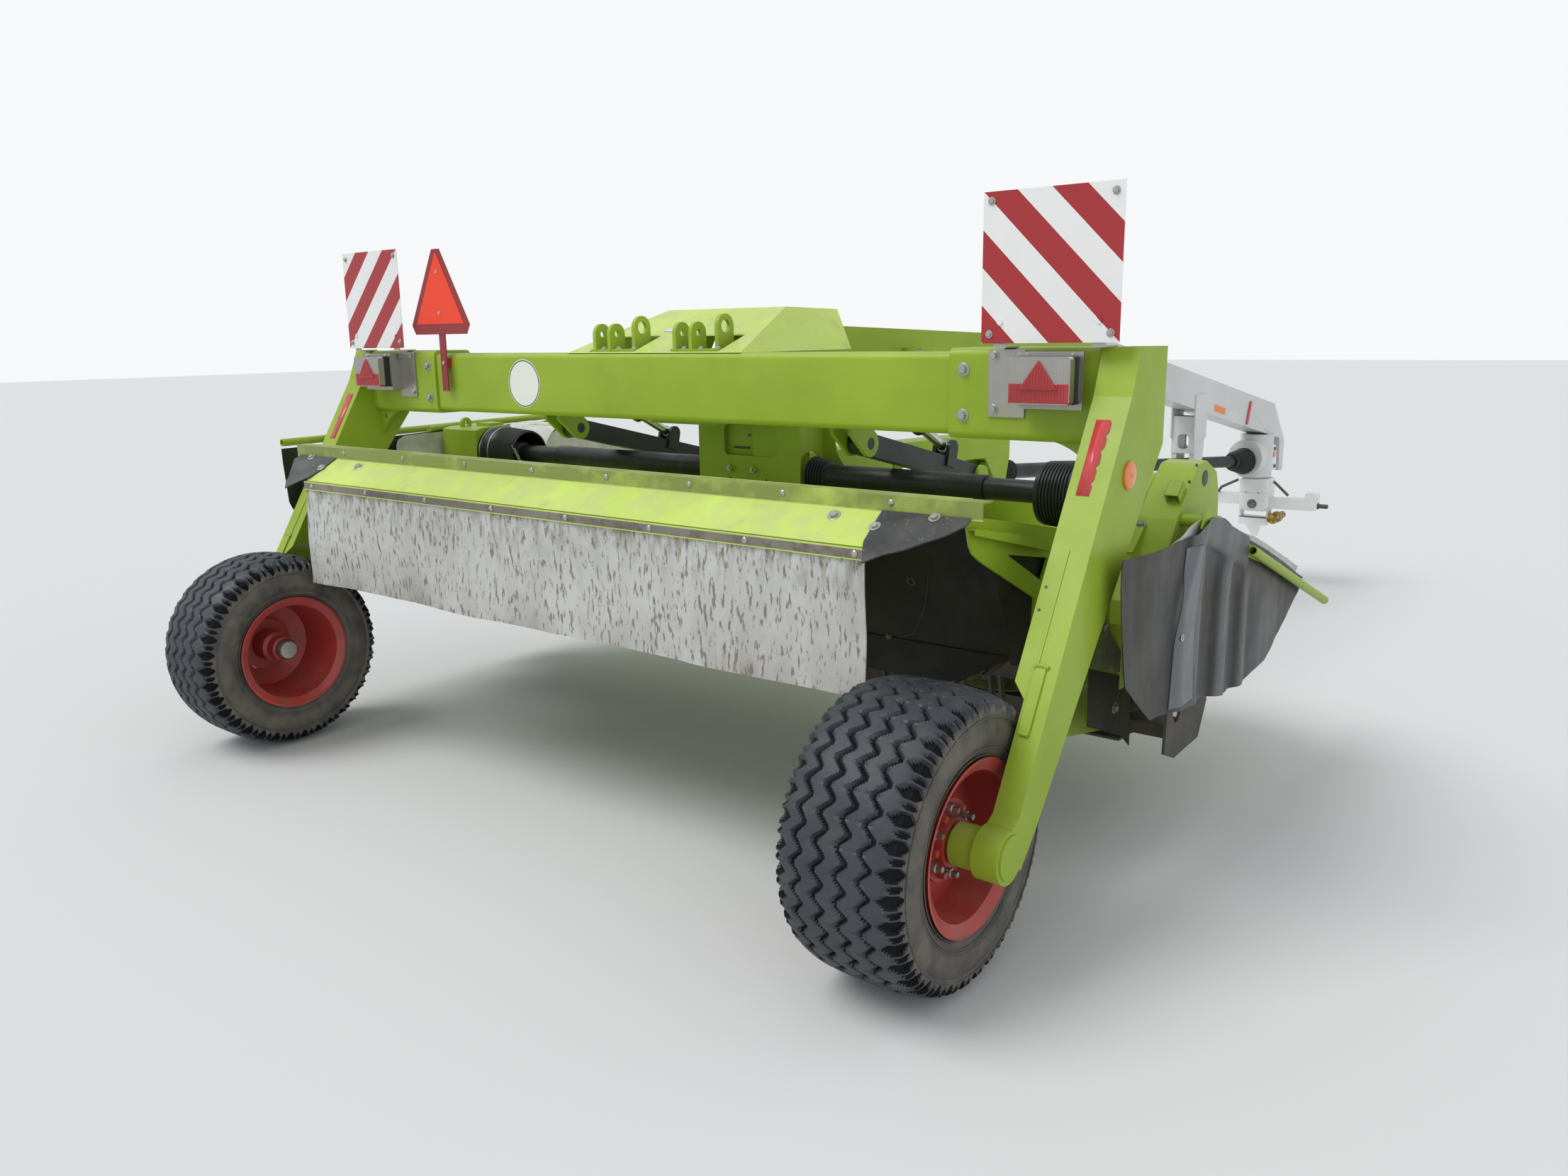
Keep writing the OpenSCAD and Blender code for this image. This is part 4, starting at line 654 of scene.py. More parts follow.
# Parts of the lamp's face: name, material, depth, outline from the lamp's lower inner corner
LENSES = (
    ("lamp_base", "lamp", 0.026, ((2, 2), (190, 2), (190, 60), (2, 60))),
    ("lamp_corner_in", "clear", 0.024, ((2, 61), (62, 61), (40, 132), (2, 132))),
    ("lamp_corner_out", "clear", 0.024, ((130, 61), (190, 61), (190, 132), (152, 132))),
    ("lamp_triangle", "lamp", 0.033, ((36, 40), (156, 40), (96, 124))),
)
LEG_Y, LEG_Z = -59, 1510
TAPE_TOP, TAPE_LEN = 72, 228
leg_down = Vector((0, -604, -1019)).normalized()
leg_out_dir = Vector((0, leg_down.z, -leg_down.y))


def on_leg(s, x, d, h):
    """A point on the leg's rear face: d down it from its top, h out of it, in millimetres."""
    return P(s * x, LEG_Y, LEG_Z) + leg_down * (d / 1000) + leg_out_dir * (h / 1000)


def lens(side, s, name, material, depth, outline):
    """Part of a lamp's face, with upright ribs 9 mm apart."""
    pts = [(LAMP_X + x, LAMP_Z + z) for x, z in outline]
    bm = bmesh.new()
    prism(bm, [P(s * x, LAMP_Y - 0.5, z) for x, z in pts], Vector((0, -depth, 0)))
    make(name + "_" + side, bm, material, "frame", bevel=0.003)
    bm = bmesh.new()
    x_min, x_max = min(p[0] for p in pts), max(p[0] for p in pts)
    for i in range(1, int((x_max - x_min) / 9)):
        x = x_min + 9 * i
        hit = sorted(za + (zb - za) * (x - xa) / (xb - xa)
                     for (xa, za), (xb, zb) in zip(pts, pts[1:] + pts[:1]) if (xa - x) * (xb - x) < 0)
        if len(hit) == 2 and hit[1] - hit[0] > 16:
            y = LAMP_Y - 0.5 - depth * 1000
            tube(bm, [P(s * x, y, hit[0] + 5), P(s * x, y, hit[1] - 5)], 0.0016, 6)
    make(name + "_ribs_" + side, bm, material, "frame")


for side, s in SIDES:
    near, far = BOLT_IN, BOARD_SIZE - BOLT_IN
    corners = [P(s * (BOARD_X + x), -64, BOARD_Z + z) for x in (near, far) for z in (near, far)]
    bolts("board_bolts_" + side, "steel", "frame", (corners, BACKWARD, 0.0075, 0.005))

    # Lamps: ribbed lens with clear upper corners on a dark housing
    bm = bmesh.new()
    box = ((0, 0), (LAMP_WIDE, 0), (LAMP_WIDE, LAMP_HIGH), (0, LAMP_HIGH))
    prism(bm, [P(s * (LAMP_X + x), LAMP_Y, LAMP_Z + z) for x, z in box], Vector((0, 0.0345, 0)))
    make("lamp_housing_" + side, bm, "black", "frame", bevel=0.004)
    for row in LENSES:
        lens(side, s, *row)

    # Lamp bracket bolts and the amber reflector on the leg's outer face
    bracket = ((1460, 1618), (1460, 1462), (1540, 1618))
    bolts("lamp_bolts_" + side, "steel", "frame",
          ([P(s * x, -15.3, z) for x, z in bracket], BACKWARD, 0.0095, 0.007),
          ([P(s * x, -60.3, 1622) for x in (1590, 1730)], BACKWARD, 0.006, 0.004))
    bm = bmesh.new()
    lathe(bm, P(s * 1905.3, -60, 1296), (s, 0, 0),
          [(0, 0), (0, 0.04), (0.005, 0.04), (0.0085, 0.036), (0.0105, 0.022), (0.011, 0)], 40)
    lathe(bm, P(s * 1916.0, -60, 1296), (s, 0, 0), [(0, 0), (0, 0.006), (0.002, 0.005), (0.0025, 0)], 16)
    make("reflector_" + side, bm, "amber", "frame")

    # Red tape on the leg's rear face, with a torn edge
    outline = [(1821, TAPE_TOP)]
    for i in range(25):
        t = i / 24
        torn = 6 * abs(ripple(t * 14, 0.3, s)) + (7 if i * 7 % 5 == 0 else 0)
        outline.append((1869 - 9 * t - torn, TAPE_TOP + TAPE_LEN * t))
    outline.append((1820, TAPE_TOP + TAPE_LEN))
    piece("leg_tape_" + side, "tape", "frame", prism, [on_leg(s, x, d, 0.4) for x, d in outline],
          leg_out_dir * 0.0009, smooth=0)


for side, s in SIDES:
    bm = bmesh.new()
    # Two small black discs stand for holes in the leg's rear face: painted shade inside them.
    for x, d in ((1808, 569), (1806, 635)):
        disc(bm, on_leg(s, x, d, 0.2), leg_out_dir, 0.0045, 0.0006, 16)
    make("leg_hole_shade_" + side, bm, "black", "frame")
    # Weld beads at the upper and lower ends of the leg's raised plate
    bm = bmesh.new()
    for line, r in ((((1838, 792, 2), (1846, 786, 5), (1866, 785, 5), (1876, 788, 2)), 0.006),
                    (((1846, 972, 3), (1870, 973, 4)), 0.005)):
        tube(bm, [on_leg(s, *p) for p in line], r, 10)
    make("leg_welds_" + side, bm, "lime", "frame")

# ---- hood details
bolts("lug_bolts", "steel", "frame",
      ([P(g * 213 + dx, 45, 1644) for g in (-1, 1) for dx in (-104, -62, 20, 104)], UP, 0.009, 0.007))
# Oval badge halfway up the hood's rear slope
slope_0, slope_1 = P(-64, 9, 1630), P(-64, 453, 1795)
hy = (slope_1 - slope_0).normalized()
hn = Vector((0, -hy.z, hy.y))
bm = bmesh.new()
badge = (slope_0 + slope_1) / 2 + hn * 0.0006
prism(bm, [badge + Vector(RIGHT) * (0.062 * cos(a)) + hy * (0.02 * sin(a)) for a in turns(40)], hn * 0.003)
make("hood_badge", bm, "grey", "frame", bevel=0.001)

# ---- rear cover, skirt and flaps
# The panel's slope runs down from its upper bend; PY, PZ is its lower bend
SL, PANEL_Y, PANEL_Z, PANEL_LEN = radians(31.4), -477, 1207, 154
PY, PZ = PANEL_Y - PANEL_LEN * cos(SL), PANEL_Z - PANEL_LEN * sin(SL)
pn = Vector((0, -sin(SL), cos(SL)))
panel_down = Vector((0, -cos(SL), -sin(SL)))
bolts("cover_bolts", "steel", "deck",
      ([P(-1342 + 388 * i, PY - 12, PZ - 19) for i in range(8)], BACKWARD, 0.0105, 0.007, False, True),
      ([P(x, PANEL_Y, 1232) for x in (-1318, -900, -506, -120, 262, 640, 1016, 1398)],
       BACKWARD, 0.0095, 0.006, False, True),
      ([P(x, PANEL_Y, PANEL_Z) + panel_down * 0.04 for x in (-1165, 1228)], pn, 0.013, 0.01))
piece("skirt_strip", "galv", "deck", plate, -1401, 1401, PY - 13.2, PY - 4, PZ - 32, PZ - 6, bevel=0.001)


def grid_sheet(name, cols, rows, place, thick, direction, material, body):
    """Cloth from a grid of points, given thickness along one direction; returns it and its area."""
    bm = bmesh.new()
    off = Vector(direction) * thick
    front = [[bm.verts.new(place(i / cols, j / rows)) for j in range(rows + 1)] for i in range(cols + 1)]
    back = [[bm.verts.new(v.co + off) for v in col] for col in front]
    for i in range(cols):
        for j in range(rows):
            bm.faces.new((front[i][j], front[i + 1][j], front[i + 1][j + 1], front[i][j + 1]))
            bm.faces.new((back[i][j + 1], back[i + 1][j + 1], back[i + 1][j], back[i][j]))
    edge = [(i, 0) for i in range(cols)] + [(cols, j) for j in range(rows)]
    edge += [(i, rows) for i in range(cols, 0, -1)] + [(0, j) for j in range(rows, 0, -1)]
    for a, b in zip(edge, edge[1:] + edge[:1]):
        bm.faces.new((front[a[0]][a[1]], back[a[0]][a[1]], back[b[0]][b[1]], front[b[0]][b[1]]))
    area = sum((front[i + 1][j].co - front[i][j].co).cross(front[i][j + 1].co - front[i][j].co).length
               for i in range(cols) for j in range(rows))
    return make(name, bm, material, body, smooth=60), area


def skirt_at(u, v):
    x = (-1 + 2 * u) * 1.4
    z = (PZ - 9 - 421 * v) / 1000
    hang = clip((v - 0.09) / 0.5)
    scallop = 0.0022 * sin(x * 2 * pi / 0.134) * max(0.0, 1 - (v - 0.1) / 0.35)
    scallop *= clip((v - 0.08) / 0.05)
    w = sum(size * ripple(x * a, v * b, seed) for a, b, seed, size in (
        (1.6, 0.9, 3.1, 0.016), (6.5, 2.2, 7.7, 0.006), (19, 7, 1.3, 0.0016)))
    y = (PY - 5.0 - MID) / 1000 + scallop + hang * (w + 0.005 * sin(x * 5.2))
    return Vector((x, y, z + 0.004 * hang * ripple(x * 3, 0, 9)))


skirt = grid_sheet("skirt_cloth", 260, 40, skirt_at, 0.004, FORWARD, "skirt", "deck")[0]
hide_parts("rear_skirt")

for side, s in SIDES:
    def flap_at(u, v):
        """Across the rubber from its curved inner edge to its slanting lower edge; v runs down."""
        low = along([(0.0, 232), (0.25, 186), (0.5, 140), (0.8, 82), (1.0, 38)], u)
        inner = along([(0.0, 1372), (0.3, 1378), (0.6, 1390), (1.0, 1440)], v)
        x = inner + (1652 - inner) * u
        d = 3 + (low - 3) * v
        lift = 0.0006 + 0.013 * step(100, 230, d) + 0.003 * sin(u * 8 + v * 3) ** 2 * v
        return P(s * x, PANEL_Y, PANEL_Z) + panel_down * (d / 1000) + pn * lift

    flap = grid_sheet("flap_rubber_" + side, 36, 24, flap_at, 0.0045, pn, "rubber", "deck")[0]
    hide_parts("flap_" + side)
    bolts("flap_bolts_" + side, "steel", "deck",
          ([flap_at(u, v) + pn * 0.0048 for u, v in ((0.035, 0.32), (0.62, 0.1))], pn, 0.0115, 0.007))

# ---- side curtains and linings
TOP_R = [(-205, 1086), (-96, 1079), (39, 1072), (145, 1071), (256, 1073), (330, 1079), (366, 1098), (400, 1112),
         (455, 1116), (505, 1110), (565, 1101), (600, 1086), (648, 1064), (735, 1035), (809, 1011), (914, 976),
         (1081, 924), (1350, 830), (1538, 757), (1638, 722)]
LOW_R = [(-205, 1000), (-190, 880), (-160, 720), (-60, 645), (50, 566), (240, 545), (505, 516), (700, 482),
         (900, 468), (1150, 498), (1400, 592), (1600, 672), (1638, 706)]
TOP_L = [(-398, 1213), (-100, 1217), (500, 1237), (1400, 1239), (1428, 1104)]
LOW_L = [(-398, 1150), (-388, 960), (-300, 802), (-100, 722), (300, 707), (900, 732), (1300, 782), (1400, 884),
         (1428, 1090)]


def ridge(y, centre, half, edge):
    """1 within half of the centre, falling softly to 0 on either side."""
    lo, hi = centre - half, centre + half
    return step(lo - edge, lo + edge, y) * (1 - step(hi - edge, hi + edge, y))


def right_x(y, z, v):
    """How far out the right curtain hangs, in tent folds from a raised peak above the pin."""
    down = step(0.0, 0.45, v)
    c = 372 - 55 * down
    x = 1958 + 19 * ridge(y, c, 50 + 52 * down, 24 + 14 * down)
    x += 15 * ridge(y, 700 - 60 * down, 22 + 34 * down, 30) * step(0.02, 0.2, v)
    x += 11 * ridge(y, 905 - 40 * down, 18 + 26 * down, 34) * down
    x -= 10 * ridge(y, 545, 60, 40) * down + 9 * ridge(y, 800, 40, 36) * down
    x += 13 * ridge(y, 1110, 130, 110) * down
    x += 7 * ripple(y / 300, z / 500, 2.0) * down + 2.0 * ripple(y / 70, z / 190, 6.0)
    x += 9 * ridge(y, 430, 70, 40) * (1 - step(0.02, 0.14, v))
    tube_z = 1108 - (y - 420) * tan(radians(19.5))
    near = step(820, 880, y) * (1 - step(70, 150, abs(z - tube_z)))
    x = x * (1 - near) + min(x, 1963.0) * near
    arm = step(372, 390, y) * (1 - step(845, 872, y)) * (1 - step(48, 76, abs(z - tube_z)))
    return max(1946.0, min(1990.0, x * (1 - arm) + max(x, 1976.0) * arm))


def left_x(y, z, v):
    """How far out the left curtain hangs, almost flat."""
    x = 1960.5 + 8 * ripple(y / 210, z / 420, 5.0) * step(0.05, 0.5, v) + 3 * sin(y / 93 + v) * v
    return max(1950.0, min(1963.6, x))


for side, s, tops, lows, x_at in (("left", -1, TOP_L, LOW_L, left_x), ("right", 1, TOP_R, LOW_R, right_x)):
    def curtain_at(u, v):
        y = tops[0][0] + (tops[-1][0] - tops[0][0]) * u
        top, low = along(tops, y), along(lows, y)
        z = top + (low - top) * v
        return P(s * x_at(y, z, v), y, z)

    cloth, area = grid_sheet("curtain_cloth_" + side, 190, 60, curtain_at, 0.0028, (s, 0, 0), "vinyl",
                             "side_" + side)
    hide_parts("curtain_" + side)

LINE_R = [(150, 1058), (198, 1066), (251, 1084), (300, 1098), (350, 1109), (428, 1119), (512, 1116),
          (616, 1100), (700, 1072), (760, 1044), (860, 1012), (1005, 976), (1158, 926), (1472, 818), (1600, 770)]
LINE_L = [(180, 1180), (190, 1207), (227, 1226), (365, 1231), (508, 1231), (596, 1230), (606, 1228)]


def line_right(u, v):
    y = 152 + 1446 * u
    z = along(LINE_R, y) - (66 + 60 * ridge(y, 420, 160, 60)) * v
    wob = 3.5 * ripple(y / 60, z / 80, 3.0) + 2.0 * ripple(y / 24, z / 30, 8.0)
    return P(1938 + wob + 9 * (1 - v) ** 3 + 9 * ridge(y, 400, 170, 40), y, z)


def line_left(u, v):
    y = 182 + 424 * u
    top = along(LINE_L, y)
    z = top + (1100 - top) * v
    wob = 5 * ripple(y / 90, z / 60, 9.0) + 2 * ripple(y / 30, z / 22, 4.0)
    return P(-1930 - 7 * sin(pi * v) - wob, y, z)


for side, s, line_at in (("right", 1, line_right), ("left", -1, line_left)):
    lin, area = grid_sheet("curtain_lining_" + side, 110, 14, line_at, 0.0025, (-s, 0, 0), "canvas",
                           "side_" + side)

# Right curtain: strap with an eyelet
def strap_at(u, v):
    z = 1046 - 486 * v
    y = 322 - 50 * step(0.0, 0.6, v) + (u - 0.5) * (96 + 60 * v)
    top, low = along(TOP_R, y), along(LOW_R, y)
    x = right_x(y, z, clip((top - z) / max(60.0, top - low))) + 3.6 + 1.2 * (1 - (2 * u - 1) ** 2)
    return P(x, y, max(z, low + 2))


strap, area = grid_sheet("curtain_strap", 12, 60, strap_at, 0.0018, RIGHT, "strap", "side_right")
piece("strap_eyelet", "steel", "side_right", lathe, strap_at(0.24, 0.55) + Vector((0.0022, 0, 0)), RIGHT,
      [(0, 0.006), (0, 0.012), (0.0016, 0.011), (0.0016, 0.007), (0, 0.006)], 24)

# ---- canvas over the deck's front corners
CAN_TOP = [(742, 1120), (800, 1215), (880, 1250), (1060, 1250), (1290, 1180), (1500, 1040), (1600, 895)]
CAN_LOW = [(742, 1002), (1074, 950), (1160, 946), (1480, 909), (1600, 872)]
hoop = [Vector(p) for p in spline([(p[0], p[1], 0) for p in CAN_TOP], 8)]
hoop_len = sum((b - a).length for a, b in zip(hoop, hoop[1:]))


def over_hoop(t):
    """The point (y, z) at the share t of the way over the hoop."""
    d = t * hoop_len
    for a, b in zip(hoop, hoop[1:]):
        w = (b - a).length
        if d <= w or b is hoop[-1]:
            return a.lerp(b, min(1.0, d / w))
        d -= w


def left_top_at(u, v):
    q = over_hoop(v)
    x = 1502 + 386 * u
    sag = 12 * sin(pi * u) * sin(pi * v) * (0.6 + 0.4 * sin(3 * v))
    wr = 3.4 * ripple(x / 130, v * 4, -1.0) + 1.6 * ripple(x / 40, v * 13, 2.0)
    return P(-x, q.x, q.y - 4 - sag + min(3.0, wr) * sin(pi * max(0.02, min(0.98, u))))


def left_end_at(u, v):
    y = 744 + 854 * u
    top, low = along(CAN_TOP, y) - 7, along(CAN_LOW, y)
    z = top + (low - top) * v
    wr = 7 * ripple(y / 120, z / 140, -4.0) + 2.5 * ripple(y / 42, z / 50, 8.0)
    return P(-(1506 + wr * sin(pi * v)), y, z)


def low_canvas_at(u, v):
    y = 744 + 748 * v
    top = along([(742, 985), (1480, 772), (1494, 738)], y)
    sag = 9 * sin(pi * u) * sin(pi * v)
    wr = 2.4 * ripple(u * 3, y / 90, 5.0)
    return P(1630 + 258 * u, y, top - 2.5 - sag - abs(wr) * sin(pi * u))


cv, area = grid_sheet("canvas_top_left", 44, 90, left_top_at, 0.003, DOWN, "canvas", "deck")
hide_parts("canvas_left")
cv, area = grid_sheet("canvas_end_left", 70, 26, left_end_at, 0.003, (-1, 0, 0), "canvas", "deck")
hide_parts("canvas_left")
cv, area = grid_sheet("canvas_top_right", 30, 70, low_canvas_at, 0.003, DOWN, "canvas", "deck")
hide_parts("canvas_right")

# ---- right drive box
SLOPE_Y, SLOPE_Z = 377, 1113
BOX = [(288, 992), (SLOPE_Y, SLOPE_Z), (484, 1209), (550, 1262), (564, 1268), (628, 1273), (728, 1229),
       (757, 1165), (766, 1077), (760, 1040), (728, 1000), (728, 800), (190, 800), (190, 880)]
piece("drive_box_shell", "lime", "deck", end_plate, 1765, BOX, 127, smooth=7, bevel=0.004)
bm = bmesh.new()
# Inner housing round the shaft's end, and the lower block down to the cutter bar
lathe(bm, P(1626.5, SHAFT_Y, SHAFT_Z), RIGHT,
      [(0, 0), (0, 0.088), (0.135, 0.094), (0.139, 0.094), (0.139, 0)], 40)
plate(bm, 1627, 1766, 300, 700, 560, 1020)
o = make("drive_box_inner", bm, "lime", "deck", bevel=0.003)
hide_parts("drive_box_right")
sd = Vector((0, 107, 96)).normalized()
sn = Vector((0, -sd.z, sd.y))


def on_slope(x, d, h=0.0):
    """A point on the box's rear slope: d up it from its lower corner, h out of it, in millimetres."""
    return P(x, SLOPE_Y, SLOPE_Z) + sd * (d / 1000) + sn * (h / 1000)


piece("drive_box_flange", "lime", "deck", prism,
      [on_slope(x, d) for x, d in ((1767, -150), (1800, -146), (1803, -48), (1767, -8))], sn * 0.005, bevel=0.001)
bolts("drive_box_bolt", "galv", "deck", ([on_slope(1787, -32, 0.2)], sn, 0.011, 0.009))
# Hat-shaped bracket, open downhill
bm = bmesh.new()
for x0, x1, h0, d, length in ((1836, 1840, 0, 68, 60), (1878, 1882, 0, 68, 60), (1836, 1882, 30, 68, 60),
                              (1836, 1882, 0, 126, 5)):
    prism(bm, [on_slope(x, d, h) for x, h in ((x0, h0), (x1, h0), (x1, 34), (x0, 34))], sd * (length / 1000))
make("drive_box_bracket", bm, "lime", "deck", bevel=0.002)
bm = bmesh.new()
lathe(bm, P(1892.2, 613, 1218), RIGHT, [(0, 0), (0, 0.026), (0.0012, 0.026), (0.0016, 0.023), (0.0016, 0)], 32)
for x, y, z in ((1884, 494, 1217), (1884, 552, 1264)):
    disc(bm, P(x, y - 2, z + 1.5), (0, -0.65, 0.76), 0.0045, 0.0022, 14)
make("drive_box_plug", bm, "black", "deck")

# ---- right end plates below the box
piece("end_corner", "grime", "deck", end_plate, 1760.5,
      ((165, 812), (396, 603), (396, 592), (61, 690), (75, 742)), 4, bevel=0.001)
bm = bmesh.new()
end_plate(bm, 1761, ((61, 688), (310, 606), (330, 399), (64, 502)), 3)
end_plate(bm, 1761, ((311, 606), (396, 590), (412, 339), (331, 399)), 3)
make("end_lower_plates", bm, "board", "deck", bevel=0.001)
bolts("end_bolts", "galv", "deck",
      ([P(1764.1, 268, 509)], RIGHT, 0.012, 0.008), ([P(1764.6, 158, 793)], RIGHT, 0.013, 0.01))

# Baffles behind the discs: lower boards, end liners, a black line painted as the shade in the fold, and eyelets
BAFFLE = ((1051, 752), (1604, 752), (1604, 742), (1449, 648), (1215, 636), (1051, 640))
FOLD = [(1426, -302, 1074), (1390, -262, 980), (1356, -220, 880), (1290, -178, 780), (1215, -164, 748)]
bd = Vector((0, -0.921, -0.389))
for side, s in SIDES:
    bm = bmesh.new()
    prism(bm, [P(s * x, -171, z) for x, z in BAFFLE], Vector((0, 0.004, 0)))
    end_plate(bm, s * 1604, ((-19, 1078), (130, 1060), (130, 700), (-19, 720)), s * 3)
    make("baffle_lower_" + side, bm, "board", "deck", bevel=0.001)
    # A thin black tube along the fold line: painted shade in the crease.
    piece("baffle_fold_shade_" + side, "black", "deck", tube, [P(s * x, y, z) + bd * 0.0008 for x, y, z in FOLD],
          0.0022, 8)
    bm = bmesh.new()
    lathe(bm, P(s * 1326, -255, 963) + bd * 0.0006, bd,
          [(0, 0.009), (0, 0.0155), (0.003, 0.0145), (0.003, 0.01), (0, 0.009)], 28)
    lathe(bm, P(s * 1191, -166, 752) + bd * 0.0006, bd,
          [(0, 0), (0, 0.013), (0.004, 0.012), (0.007, 0.007), (0.007, 0)], 24)
    make("baffle_eyelets_" + side, bm, "dark", "deck", "zinc")

# ---- shafts with ribbed bellows
COWL_X, OUTER_TUBE_X, JOINT_X = 1370, 1140, 1500
for side, s, x_in in (("left", -1, 187.5), ("right", 1, 343.5)):
    bm = bmesh.new()
    L, a = (JOINT_X - x_in) / 1000, (OUTER_TUBE_X - x_in) / 1000
    p = [(-0.021, 0), (-0.016, 0.013), (0.0, 0.021), (0.009, 0.019), (0.0095, 0.03)]
    if side == "right":
        p += [(0.022, 0.048)] + bellows(0.076, 0.058, 0.024, 0.106, 7, 0.007) + [(0.108, 0.048)]
    else:
        p += [(0.01, 0.044), (0.013, 0.048)]
    p += [(a - 0.002, 0.048), (a, 0.0465), (a + 0.0005, 0.04), (L - 0.096, 0.04), (L - 0.094, 0.046)]
    p += bellows(0.05, 0.069, L - 0.092, L - 0.004, 6, 0.006) + [(L - 0.001, 0.06), (L, 0.058), (L, 0)]
    lathe(bm, P(s * x_in, SHAFT_Y, SHAFT_Z), (s, 0, 0), p, 48)
    o = make("shaft_guard_" + side, bm, "guard", "shaft_" + side, smooth=40)
    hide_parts("cross_shaft_" + side)
    # Ribbed cowl round the outer joint
    bm = bmesh.new()
    p = [(0.0, 0.1005), (0.0, 0.1075), (0.006, 0.108)]
    for i in range(11):
        d = 0.01 + 0.0125 * i
        r = 0.1095 + 0.0008 * i
        p += [(d, r - 0.003), (d + 0.003, r + 0.002), (d + 0.0075, r + 0.002), (d + 0.0105, r - 0.003)]
    p += [(0.152, 0.118), (0.156, 0.12), (0.2555, 0.12), (0.2555, 0.0665), (0.25, 0.0665), (0.25, 0.114),
          (0.156, 0.114), (0.0, 0.1005)]
    lathe(bm, P(s * COWL_X, SHAFT_Y, SHAFT_Z), (s, 0, 0), p, 72)
    o = make("cowl_" + side, bm, "guard", "deck", smooth=40)
    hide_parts("shaft_cowls")
    bm = bmesh.new()
    for d in (232, 170):
        band(bm, P(s * (COWL_X + d), SHAFT_Y, SHAFT_Z), (s, 0, 0), 0.1193, 0.1219, 0, 0.01, 72)
    make("cowl_bands_" + side, bm, "zinc", "deck")

# Chain that keeps the left guard tube from turning
bm = bmesh.new()
ch = spline([P(*p) for p in ((-1372, 452, 1175), (-1345, 462, 1120), (-1330, 480, 1085), (-1338, 500, 1066),
                             (-1372, 470, 1076))], 8)
lengths = [0.0]
for a, b in zip(ch, ch[1:]):
    lengths.append(lengths[-1] + (b - a).length)
k, d = 0, 0.0
while d < lengths[-1] - 0.012:
    i = max(j for j, v in enumerate(lengths) if v <= d)
    a, b = ch[i], ch[min(i + 1, len(ch) - 1)]
    c = a.lerp(b, (d - lengths[i]) / max(1e-6, (b - a).length))
    x, y, z = frame_of(b - a)
    if k % 2:
        x, y = y, x
    ring = [c + z * (0.0085 * sin(t) + (0.004 if sin(t) > 0 else -0.004)) + x * (0.0055 * cos(t))
            for t in (2 * pi * q / 14 for q in range(15))]
    tube(bm, ring, 0.0019, 6, False)
    d += 0.0165
    k += 1
make("cowl_chain", bm, "zinc", "deck")

# Drawbar shaft guard
bm = bmesh.new()
a, b = B(0, 1624, 985), B(0, 4222, 829)
L = (b - a).length
p = [(0, 0), (0, 0.018), (0.008, 0.018), (0.0085, 0.06)] + bellows(0.076, 0.058, 0.01, 0.115, 7, 0.007)
p += [(0.118, 0.046), (0.14, 0.039), (L * 0.5, 0.039), (L * 0.5, 0.0365), (L - 0.18, 0.0365), (L - 0.178, 0.05),
      (L - 0.155, 0.054)]
p += bellows(0.062, 0.088, L - 0.15, L - 0.008, 8, 0.01)
p += [(L - 0.007, 0.06), (L - 0.0068, 0.018), (L, 0.018), (L, 0)]
lathe(bm, a, b - a, p, 44)
o = make("main_shaft_guard", bm, "guard", "drawbar", smooth=40)
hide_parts("drawbar_shaft")

# Plate behind the shield's window, with its bolt and slots; the slots are dark strips painted as the shade in the
# openings, and a dark disc sits round the bolt
piece("window_plate", "lime", "frame", plate, -56, 230, 510, 514, 1194, 1344, bevel=0.001)
bm = bmesh.new()
disc(bm, P(116, 510, 1285), BACKWARD, 0.021, 0.002, 28)
for x0, x1, z in ((-18, 70, 1232), (96, 190, 1236), (60, 74, 1284)):
    plate(bm, x0, x1, 508.6, 510.2, z, z + 11)
make("window_slots", bm, "dark", "frame")
bolts("window_bolt", "galv", "frame", ([P(116, 508, 1285)], BACKWARD, 0.011, 0.01, False))


# ---- hitch head
def H(x, y, z):
    """A point in the hitch head's frame, in millimetres."""
    return P(HITCH_X + x, HITCH_Y + y, z)


def block_ring(a, b, z):
    """A rounded rectangle round the head's middle, a and b being its half sides."""
    ring = []
    for t in turns(48):
        c, q = cos(t), sin(t)
        r = (abs(c / a) ** 7 + abs(q / b) ** 7) ** (-1 / 7)
        ring.append(H(24 + r * c, r * q, z))
    return ring


BORE, YOKE = 45.6, 412.5
bm = bmesh.new()
loops = [block_ring(a, b, z) for a, b, z in (
    (52, 52, 489), (72, 74, 491), (85, 84, 502), (92, 90, 526), (95, 92, 560), (96, 92, 612.5), (93, 89, 613),
    (93, 89, 616), (96, 92, 616.5), (96, 92, 690), (93, 90, 702), (86, 84, 709), (80, 78, 710.5))]
loops += [[H(BORE * cos(t), BORE * sin(t), z) for t in turns(48)] for z in (710.5, 664)]
rings = [[bm.verts.new(q) for q in ring] for ring in loops]
for ra, rb in zip(rings, rings[1:]):
    for k in range(48):
        bm.faces.new((ra[k], ra[(k + 1) % 48], rb[(k + 1) % 48], rb[k]))
bm.faces.new(rings[0])
bm.faces.new(rings[-1])
for poly in (((100, 578), (126, 579), (290, 588), (338, 588), (340, 622), (352, 632), (398, 632), (YOKE, 620),
              (YOKE, 520), (380, 516), (126, 513), (100, 513)),
             ((-52, 601), (-80, 601), (-290, 604), (-338, 602), (-340, 626), (-352, 636), (-398, 636),
              (-YOKE, 622), (-YOKE, 520), (-380, 518), (-80, 530), (-52, 530))):
    prism(bm, [H(x, -45, z) for x, z in poly], Vector((0, 0.09, 0)))
